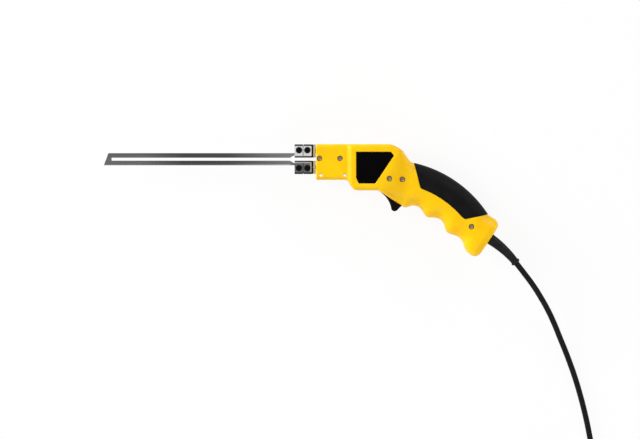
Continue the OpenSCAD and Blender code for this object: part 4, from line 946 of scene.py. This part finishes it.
def shared_cuts():
    """What is cut from both halves: guide holes, and ways for the electrodes, the trigger and the cord."""
    sink = GUIDE_SINK / GUIDE_SINK_D
    flare = (GUIDE_R + GUIDE_SINK + sink * OVER, NOSE_HW + OVER)
    guide = [(GUIDE_R, -OVER), (GUIDE_R, NOSE_HW - GUIDE_SINK_D), flare]
    tools = [lathe("guide", guide, (x, y, 0)) for x, y in GUIDE_PLACES]
    for y in (-BAR_Y, BAR_Y):
        tools.append(box(
            "way", (front_x - OVER, y - BAR_H / 2 - FIT, -OVER),
            (front_x + FRONT_WALL + OVER, y + BAR_H / 2 + FIT, BAR_W / 2 + FIT),
        ))
    slot_to, slot_hw, lip_y = TRIGGER_R + SLIDE_FIT * 2, TRIGGER_W / 2 + SLIDE_FIT, WALL - PIVOT_DEPTH
    slot = box("slot", (-PIVOT_RUN, -PIVOT_DEPTH * 2, -OVER), (slot_to, PIVOT_DEPTH, slot_hw))
    lip_to = (slot_to + LIP_LEN, lip_y + PIVOT_DEPTH * 2, slot_hw)
    lip_way = box("lip_way", (slot_to / 2, lip_y, -OVER), lip_to)
    bore = RELIEF_R + FIT
    profile = [(bore, -HANDLE_WALL * 2), (bore, -EXIT_RIM), (RELIEF_R + EXIT_FLARE, EXIT_PAST)]
    exit_hole = lathe("exit", profile)
    return tools + [at_pivot(slot), at_pivot(lip_way), along_exit(exit_hole, BUTT_LEN), pad_pocket()]


def left_cuts():
    """The panel's recess and the screws' counterbores, with softened rims."""
    outline = panel_outline()
    layers = [(outline, BODY_HW - PANEL_SUNK - PANEL_T - PANEL_BED)]
    for out, down in RECESS_SHARES:
        layers.append((grown(outline, PANEL_FLARE * out), BODY_HW - PANEL_FLARE * down))
    layers.append((grown(outline, PANEL_FLARE * RECESS_PAST), BODY_HW + OVER))
    tools = [prism("recess", layers)]
    bore, shank = SCREW_HEAD_R + HEAD_ROOM, SCREW_R + SHANK_ROOM
    for x, y, z in SCREWS:
        profile = [(bore, seat_z((x, y, z)))] + [(bore + u, z - v) for u, v in soft_edge(BORE_LIP)]
        tools.append(lathe("counterbore", profile + [(bore + BORE_LIP * 3, z + OVER * 2)], (x, y, 0)))
        tools.append(lathe("shank_hole", [(shank, -OVER), (shank, z)], (x, y, 0)))
    return tools


def shell(name, flip, own_cuts):
    half = skin(name, [half_ring(s, 0, 0) for s in outer_rows])
    combine(half, [hollow_half()])
    combine(half, bosses(), "UNION")
    combine(half, shared_cuts() + own_cuts)
    return shade(raised(half, flip), SHELL_ANGLE)


# Smaller pieces

def side_panel():
    outline = grown(panel_outline(), -PANEL_GAP)
    top = BODY_HW - PANEL_SUNK
    layers = [(grown(outline, -u), top - v) for u, v in soft_edge(PANEL_ROUND)]
    return shade(raised(prism("panel", [(outline, top - PANEL_T)] + layers)))


def oblong(u, v):
    return [(-u, -v), (u, -v), (u, v), (-u, v)]


def cross_slots(x, y, seat):
    """The two slots of a screw's cross recess, which narrow downward."""
    arm, half = SCREW_HEAD_R * CROSS_ARM, SCREW_HEAD_R * CROSS_HALF
    slots = []
    for turn in (0, 90):
        slot = prism("slot", [
            (oblong(arm * CROSS_END, half * CROSS_FOOT), seat + SCREW_HEAD_H * CROSS_DEEP),
            (oblong(arm, half), seat + SCREW_HEAD_H + OVER),
        ])
        spin = Matrix.Rotation(math.radians(turn + x * CROSS_TURN), 4, "Z")
        slots.append(placed(slot, Matrix.Translation((x * MM, y * MM, 0)) @ spin))
    return slots


def screw_heads():
    """Pan heads with a cross recess, on their shanks."""
    screws = []
    for x, y, z in SCREWS:
        seat = seat_z((x, y, z))
        profile = [(SCREW_R, -SCREW_BITE), (SCREW_R, seat)]
        profile += [(SCREW_HEAD_R - HEAD_BEVEL, seat), (SCREW_HEAD_R, seat + HEAD_BEVEL)]
        for a in spread(0, DOME_TURN, CORNER_STEPS):
            rise = HEAD_RIM + (1 - HEAD_RIM) * sin(a)
            profile.append((SCREW_HEAD_R * cos(a), seat + SCREW_HEAD_H * rise))
        screws.append(combine(lathe("screw", profile, (x, y, 0)), cross_slots(x, y, seat)))
    return shade(raised(joined("housing_screw_set", screws)))


def trigger_outline():
    tip_mid = Vector((TRIGGER_R - TIP_BACK, TIP_R - TRIGGER_DROP))
    front, lead = Vector(FINGER_FRONT) * HUB_R, Vector(FINGER_LEAD) * TIP_R
    sag = Vector((TRIGGER_R * FINGER_SAG[0], TRIGGER_DROP * FINGER_SAG[1]))
    finger = [bezier(front, sag, tip_mid - lead, t) for t in spread(*FINGER_ROWS)]
    inside = [Vector((TRIGGER_R * ARM_SHARE, ARM_Y)), Vector((INSIDE_X, INSIDE_Y)), Vector((HUB_R, INSIDE_Y))]
    hub, tip, rear = arc(HUB_R, *HUB_ARC), arc(TIP_R, *TIP_ARC, tip_mid), arc(TRIGGER_R, *REAR_ARC)
    return hub + finger + tip + rear + inside


def trigger_lever():
    outline = trigger_outline()
    half = TRIGGER_W / 2
    top = [(grown(outline, -drop), half - v) for drop, v in quarter(TRIGGER_ROUND, TRIGGER_STEPS)]
    lever = prism("trigger_lever", [(points, -z) for points, z in reversed(top)] + top)
    arm_half = half - TRIGGER_ROUND
    arm = box("arm", (TRIGGER_R * ARM_SHARE, WALL - PIVOT_DEPTH + SLIDE_FIT, -arm_half),
              (TRIGGER_R + LIP_LEN - SLIDE_FIT, ARM_Y, arm_half))
    combine(lever, [arm], "UNION")
    bore = PIN_R + PIN_ROOM
    combine(lever, [lathe("bore", [(bore, -half - OVER), (bore, half + OVER)])])
    return shade(raised(at_pivot(lever)))


def relief_point(s):
    out = max(s, 0)
    a = math.degrees(out / RELIEF_BEND_R)
    place = butt_point(BUTT_LEN, -EXIT_DROP)
    if s < 0:
        place = place + exit_way * s
    else:
        place = place + (exit_way * sin(a) - exit_side * (1 - cos(a))) * RELIEF_BEND_R
    t = out / relief_end
    return Vector((place.x, place.y, PARTING - RELIEF_DROOP * t * t))


def relief_way(s):
    return (relief_point(s + WAY_STEP) - relief_point(s - WAY_STEP)).normalized()


def ring(place, way, r, sides):
    side = way.cross(Vector((0, 0, 1))).normalized()
    up = side.cross(way)
    return [place + (side * cos(360 * j / sides) + up * sin(360 * j / sides)) * r for j in range(sides)]


def strain_relief():
    """A tapered sleeve with a flange inside the butt, a round collar and a bore for the cord."""
    inner = -HANDLE_WALL - FIT
    start = inner - RELIEF_FLANGE_T
    profile = [(start, RELIEF_FLANGE_R), (inner, RELIEF_FLANGE_R), (inner, RELIEF_R)]
    collar = RELIEF_LEN - COLLAR_LAP
    profile += [(s, mix(RELIEF_R, RELIEF_END_R, s / RELIEF_LEN)) for s in spread(0, collar, RELIEF_ROWS)]
    swell = COLLAR_R - RELIEF_END_R
    for t in spread(*COLLAR_ROWS):
        profile.append((collar + COLLAR_LEN * t, COLLAR_R - swell * (1 - math.sin(math.pi * t)) ** 2))
    profile += [(relief_end, COLLAR_R - COLLAR_DROP), (relief_end, RELIEF_BORE_R)]
    profile += [(s, RELIEF_BORE_R) for s in spread(relief_end - BORE_IN, start, BORE_ROWS)]
    rings = [ring(relief_point(s), relief_way(s), r, RELIEF_SIDES) for s, r in profile]
    return shade(skin("strain_relief_sleeve", rings, True))


def tube(name, points, r, sides):
    """A round tube along a path, with flat ends."""
    points = [Vector(p) for p in points]
    ways = [points[1] - points[0]]
    ways += [b - a for a, b in zip(points, points[2:])]
    ways.append(points[-1] - points[-2])
    return shade(skin(name, [ring(p, w.normalized(), r, sides) for p, w in zip(points, ways)]))


def cord_tail():
    path = [relief_point(s) for s in spread(-TAIL_IN, relief_end, TAIL_ROWS)]
    return tube("cord_tail_sheath", path, CORD_R, TAIL_SIDES)


def flowing(points):
    """A smooth path through points."""
    points = [Vector(p) for p in points]
    ends = [points[0] * 2 - points[1]] + points + [points[-1] * 2 - points[-2]]
    path = []
    for a, b, c, d in zip(ends, ends[1:], ends[2:], ends[3:]):
        for t in spread(0, 1, FLOW_STEPS)[:-1]:
            bend = (a * 2 - b * 5 + c * 4 - d) * t * t + (b * 3 - a - c * 3 + d) * t ** 3
            path.append(b + ((c - a) * t + bend) / 2)
    return path + [points[-1]]


def tail_leads(side):
    """A lead's first stretch, from the cord's tail past the boss of the screw beside it."""
    rows = [(butt_point(BUTT_LEN - TAIL_IN - run, -EXIT_DROP), LEAD_OFF) for run in (LEAD_GAP, LEAD_OUT)]
    rows.append((Vector(SCREWS[-1][:2]) + exit_side * (BOSS_R + LEAD_R + LEAD_PAST), LEAD_SPREAD))
    return [(p.x, p.y, PARTING - side * off) for p, off in rows]


def handle_leads(shares):
    rows = [(handle_place(along, depth), across) for along, depth, across in shares]
    return [(p.x, p.y, PARTING + HANDLE_HW * across) for p, across in rows]


def body_leads(shares):
    """A lead's way through the body to its end on the winding."""
    points = [(mix(WINDING_BACK, HANDLE_X, u), -BODY_DROP * v, PARTING + BODY_HW * w) for u, v, w in shares]
    return points + [(WINDING_BACK, *points[-1][1:])]


def tab_leads(run):
    """A lead's end on a tab of the switch."""
    places = [pivot + slot_way * run + slot_in * (SWITCH_TOP + rise) for rise in (LEAD_RISE, LEAD_GAP)]
    return [(p.x, p.y, PARTING) for p in places]


def leads():
    """The live and neutral leads from the cord, and the lead from the switch to the winding."""
    front, rear = tab_leads(SWITCH_FROM + TAB_T * 1.5), tab_leads(SWITCH_FROM + SWITCH_LEN - TAB_T * 1.5)
    routes = {
        "live": tail_leads(-1) + handle_leads(LIVE_SHARES) + rear,
        "neutral": tail_leads(1) + handle_leads(NEUTRAL_SHARES) + body_leads(NEUTRAL_BODY_SHARES),
        "primary": front[::-1] + body_leads(PRIMARY_BODY_SHARES),
    }
    return {
        name: tube("lead_" + name + "_wire", flowing(points), LEAD_R, LEAD_SIDES)
        for name, points in routes.items()
    }


def block_skin(name):
    """A chamfered block with softened ends, and in its front the slit for the blade's tail."""
    h, d, c = TERMINAL_H / 2, TERMINAL_D / 2, TERMINAL_CHAMFER
    corners = [(c - h, -d), (h - c, -d), (h, c - d), (h, d - c)]
    corners += [(-x, -y) for x, y in corners]
    outline = rounded([Vector(p) for p in corners], BLOCK_ROUND, BLOCK_STEPS)
    slit = [Vector((max(-SLIT_H, min(SLIT_H, p.x * 2)), math.copysign(SLIT_T, p.y))) / 2 for p in outline]
    front = soft_edge(BLOCK_END_R)
    ends = front + [(TERMINAL_LEN - x, drop) for x, drop in reversed(front)]
    layers = [(SLIT_LEN, slit), (0, slit)] + [(x, grown(outline, -drop)) for x, drop in ends]
    return cleaned(skin(name, [[(TERMINAL_X + x, BAR_Y + p.x, p.y) for p in row] for x, row in layers]))


def terminal_block(name, side):
    """A block that is bored for its set screws and grooved between them."""
    block = block_skin(name)
    h, d = TERMINAL_H / 2, TERMINAL_D / 2
    groove_x = SET_SCREW_X - SET_SCREW_PITCH / 2
    bore, rim = SET_SCREW_R + SHANK_ROOM, SET_SCREW_RIM
    profile = [(bore, 0), (bore, d - rim), (bore + rim * 2, d + rim)]
    tools = [lathe("bore", profile, (SET_SCREW_X - SET_SCREW_PITCH * i, SET_SCREW_Y, 0)) for i in (0, 1)]
    upright = [(GROOVE_R, -h * 2), (GROOVE_R, h * 2)]
    tools.append(lathe("groove", upright, (groove_x, BAR_Y + h, 0), GROOVE_STEPS))
    for face in (-1, 1):
        across = placed(lathe("groove", upright, steps=GROOVE_STEPS), Matrix.Rotation(math.pi / 2, 4, "X"))
        tools.append(placed(across, Matrix.Translation(Vector((groove_x, BAR_Y, face * d)) * MM)))
    return shade(raised(placed(combine(block, tools), Matrix.Diagonal((1, side, 1, 1)))))


# The cord lies along the route of its solids

coil_pitch = CORD_R * 2 + COIL_GAP
half_turns = COIL_TURNS / 2
coil_low = COIL_LIFT + CORD_R


def coil_point(u):
    r = COIL_R - coil_pitch * (half_turns - abs(u - half_turns))
    climb = smooth(held((u - half_turns + CLIMB_TURN / 2) / CLIMB_TURN))
    x, y = COIL_MID
    return Vector((x + r * cos(-360 * u), y + r * sin(-360 * u), coil_low + coil_pitch * climb))


coil_end = coil_point(COIL_TURNS) + Vector((-CORD_R * 2, 0, 0))
plug_end = Vector((coil_end.x - PLUG_GAP, coil_end.y, PLUG_H / 2))


def cord_route():
    start = Vector((COIL_MID[0] + COIL_R, COIL_MID[1] + CORD_R * 2, coil_low))
    turns = [coil_point(u) for u in spread(0, COIL_TURNS, round(COIL_TURNS * COIL_STEPS))]
    dip = Vector((0, 0, PLUG_DIP))
    down, up = [mix(coil_end, plug_end, share) for share in PLUG_SHARES]
    out = [relief_point(relief_end)] + [Vector(p) for p in CORD_POINTS] + [start]
    return out + turns + [coil_end, down - dip, up + dip, plug_end]


def route_length(points):
    return sum((b - a).length for a, b in zip(points, points[1:])) * MM


def cord_curve(points):
    curve = bpy.data.curves.new("mains_cord", "CURVE")
    curve.dimensions = "3D"
    curve.bevel_depth = CORD_R * MM
    curve.bevel_resolution = 5
    curve.resolution_u = 4
    curve.use_fill_caps = True
    spline = curve.splines.new("BEZIER")
    spline.bezier_points.add(len(points) - 1)
    for knot, p in zip(spline.bezier_points, points):
        knot.co = p * MM
        knot.handle_left_type = knot.handle_right_type = "AUTO"
    return add_object("mains_cord", curve)


def ribbed(i):
    """True for the two low rows that follow each two high ones."""
    return i % 4 > 1


def plug_profile():
    """The plug's rows as (run, half width), with ribs on its neck and its body."""
    half, face_x = PLUG_W / 2, PLUG_NECK + PLUG_LEN
    rows = []
    for i, s in enumerate(spread(0, PLUG_NECK - NECK_STOP, NECK_ROWS)):
        rows.append((s, PLUG_NECK_R * mix(1, NECK_FLARE, s / PLUG_NECK) - NECK_RIB * ribbed(i)))
    for t in spread(0, 1, SWELL_ROWS):
        rows.append((PLUG_NECK + PLUG_LEN * SWELL_SHARE * t, mix(PLUG_NECK_R * NECK_FLARE, half, smooth(t))))
    for i, t in enumerate(spread(*PLUG_ROWS)):
        rows.append((PLUG_NECK + PLUG_LEN * t, half - PLUG_RIB * (ribbed(i) and i < PLUG_RIB_ROWS)))
    return rows + [(face_x - v, half - u) for u, v in quarter(PLUG_FACE_R, BEVEL_ROWS)]


def plug_body():
    """A moulded two-pin plug with ribs for the fingers, lying flat."""
    rings = []
    for s, r in plug_profile():
        limit = min(PLUG_H / 2, r)
        row = []
        for j in range(PLUG_SIDES):
            side, up = r * cos(360 * j / PLUG_SIDES), r * sin(360 * j / PLUG_SIDES)
            # A soft limit flattens the body's upper and lower side
            if limit < r:
                up = up / (1 + abs(up / (limit * PLUG_SPARE)) ** PLUG_FLAT) ** (1 / PLUG_FLAT)
            row.append(plug_end + Vector((-s, side, up)))
        rings.append(row)
    return shade(skin("plug_moulding", rings), PLUG_ANGLE)


def cord_tie():
    """A flat strap round the coil, with softened edges."""
    room = TIE_ROOM * 4 + TIE_T
    inner, outer = COIL_R - coil_pitch * half_turns - CORD_R - room, COIL_R + CORD_R + room
    top = coil_low + coil_pitch + CORD_R + TIE_ROOM + TIE_T
    corners = [Vector((inner, 0)), Vector((outer, 0)), Vector((outer, top)), Vector((inner, top))]
    outside = rounded(corners, TIE_CORNER)
    rings = [[(p.x, edge * TIE_W, p.y) for p in grown(outside, -drop)] for edge, drop in TIE_EDGES]
    strap = skin("coil_strap", rings, True)
    place = Matrix.Translation((COIL_MID[0] * MM, COIL_MID[1] * MM, 0))
    return shade(placed(strap, place @ Matrix.Rotation(math.radians(TIE_TURN), 4, "Z")))


# Dressing and placing

def dress_nodes(materials):
    """Gives each CAD node that shows its material, clean shading and fine bevels."""
    for name, (look, soft) in NODE_LOOKS.items():
        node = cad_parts[name]
        node.data.materials.clear()
        node.data.materials.append(materials[look])
        modify(node, "WELD", merge_threshold=SLIVER * MM)
        modify(node, "DECIMATE", decimate_type="DISSOLVE", angle_limit=math.radians(FLAT_ANGLE))
        if soft:
            modify(
                node, "BEVEL", width=soft * MM, segments=2, limit_method="ANGLE",
                angle_limit=math.radians(BEVEL_ANGLE), harden_normals=True,
            )


def finish_piece(piece, material, body, slot, *nodes):
    piece.data.materials.clear()
    piece.data.materials.append(material)
    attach(piece, body)
    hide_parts(*nodes)
    return piece


def make_cord(materials):
    route = cord_route()
    look = materials["cord_pvc"]
    cord = finish_piece(cord_curve(route), look, "housing", "cord", "cord", "cord_coil", "cord_end")
    plug = finish_piece(plug_body(), materials["plug_pvc"], "housing", "plug", "plug")
    tie = finish_piece(cord_tie(), materials["tie_webbing"], "housing", "tie", "cord_tie")
    route_length(route)


def make_pieces(materials):
    """Each piece with its material, body, slot and the CAD node that it replaces."""
    pieces = [
        (shell("shell_left", False, left_cuts()), "moulded_yellow", "housing", "housing", "housing_left"),
        (shell("shell_right", True, []), "moulded_yellow", "housing", "housing", "housing_right"),
        (grip_pad("grip_pad_left", False), "grip_rubber", "housing", "grip", "grip_left"),
        (grip_pad("grip_pad_right", True), "grip_rubber", "housing", "grip", "grip_right"),
        (side_panel(), "panel_gloss", "housing", "panel", "side_panel"),
        (screw_heads(), "screw_zinc", "housing", "screws", "housing_screws"),
        (trigger_lever(), "trigger_plastic", "trigger", "trigger", "trigger"),
        (strain_relief(), "sleeve_pvc", "housing", "cord", "strain_relief"),
        (cord_tail(), "cord_pvc", "housing", "cord", "cord_tail"),
    ]
    # The upper block takes the painted lit copy of the terminal metal, the lower block the painted shaded
    # copy
    for place, side, look in (("upper", 1, "terminal_painted_lit"), ("lower", -1, "terminal_painted_shaded")):
        block = terminal_block("terminal_block_" + place, side)
        pieces.append((block, look, "housing", "terminal", "terminal_" + place))
    wires = leads()
    for name, look, slot in LEAD_LOOKS:
        pieces.append((wires[name], look, "housing", slot, "lead_" + name))
    for piece, look, body, slot, node in pieces:
        finish_piece(piece, materials[look], body, slot, node)


scene.view_settings.view_transform = "Standard"
make_camera()
materials = make_materials()
make_cord(materials)
make_pieces(materials)
dress_nodes(materials)
make_light()
make_floor()
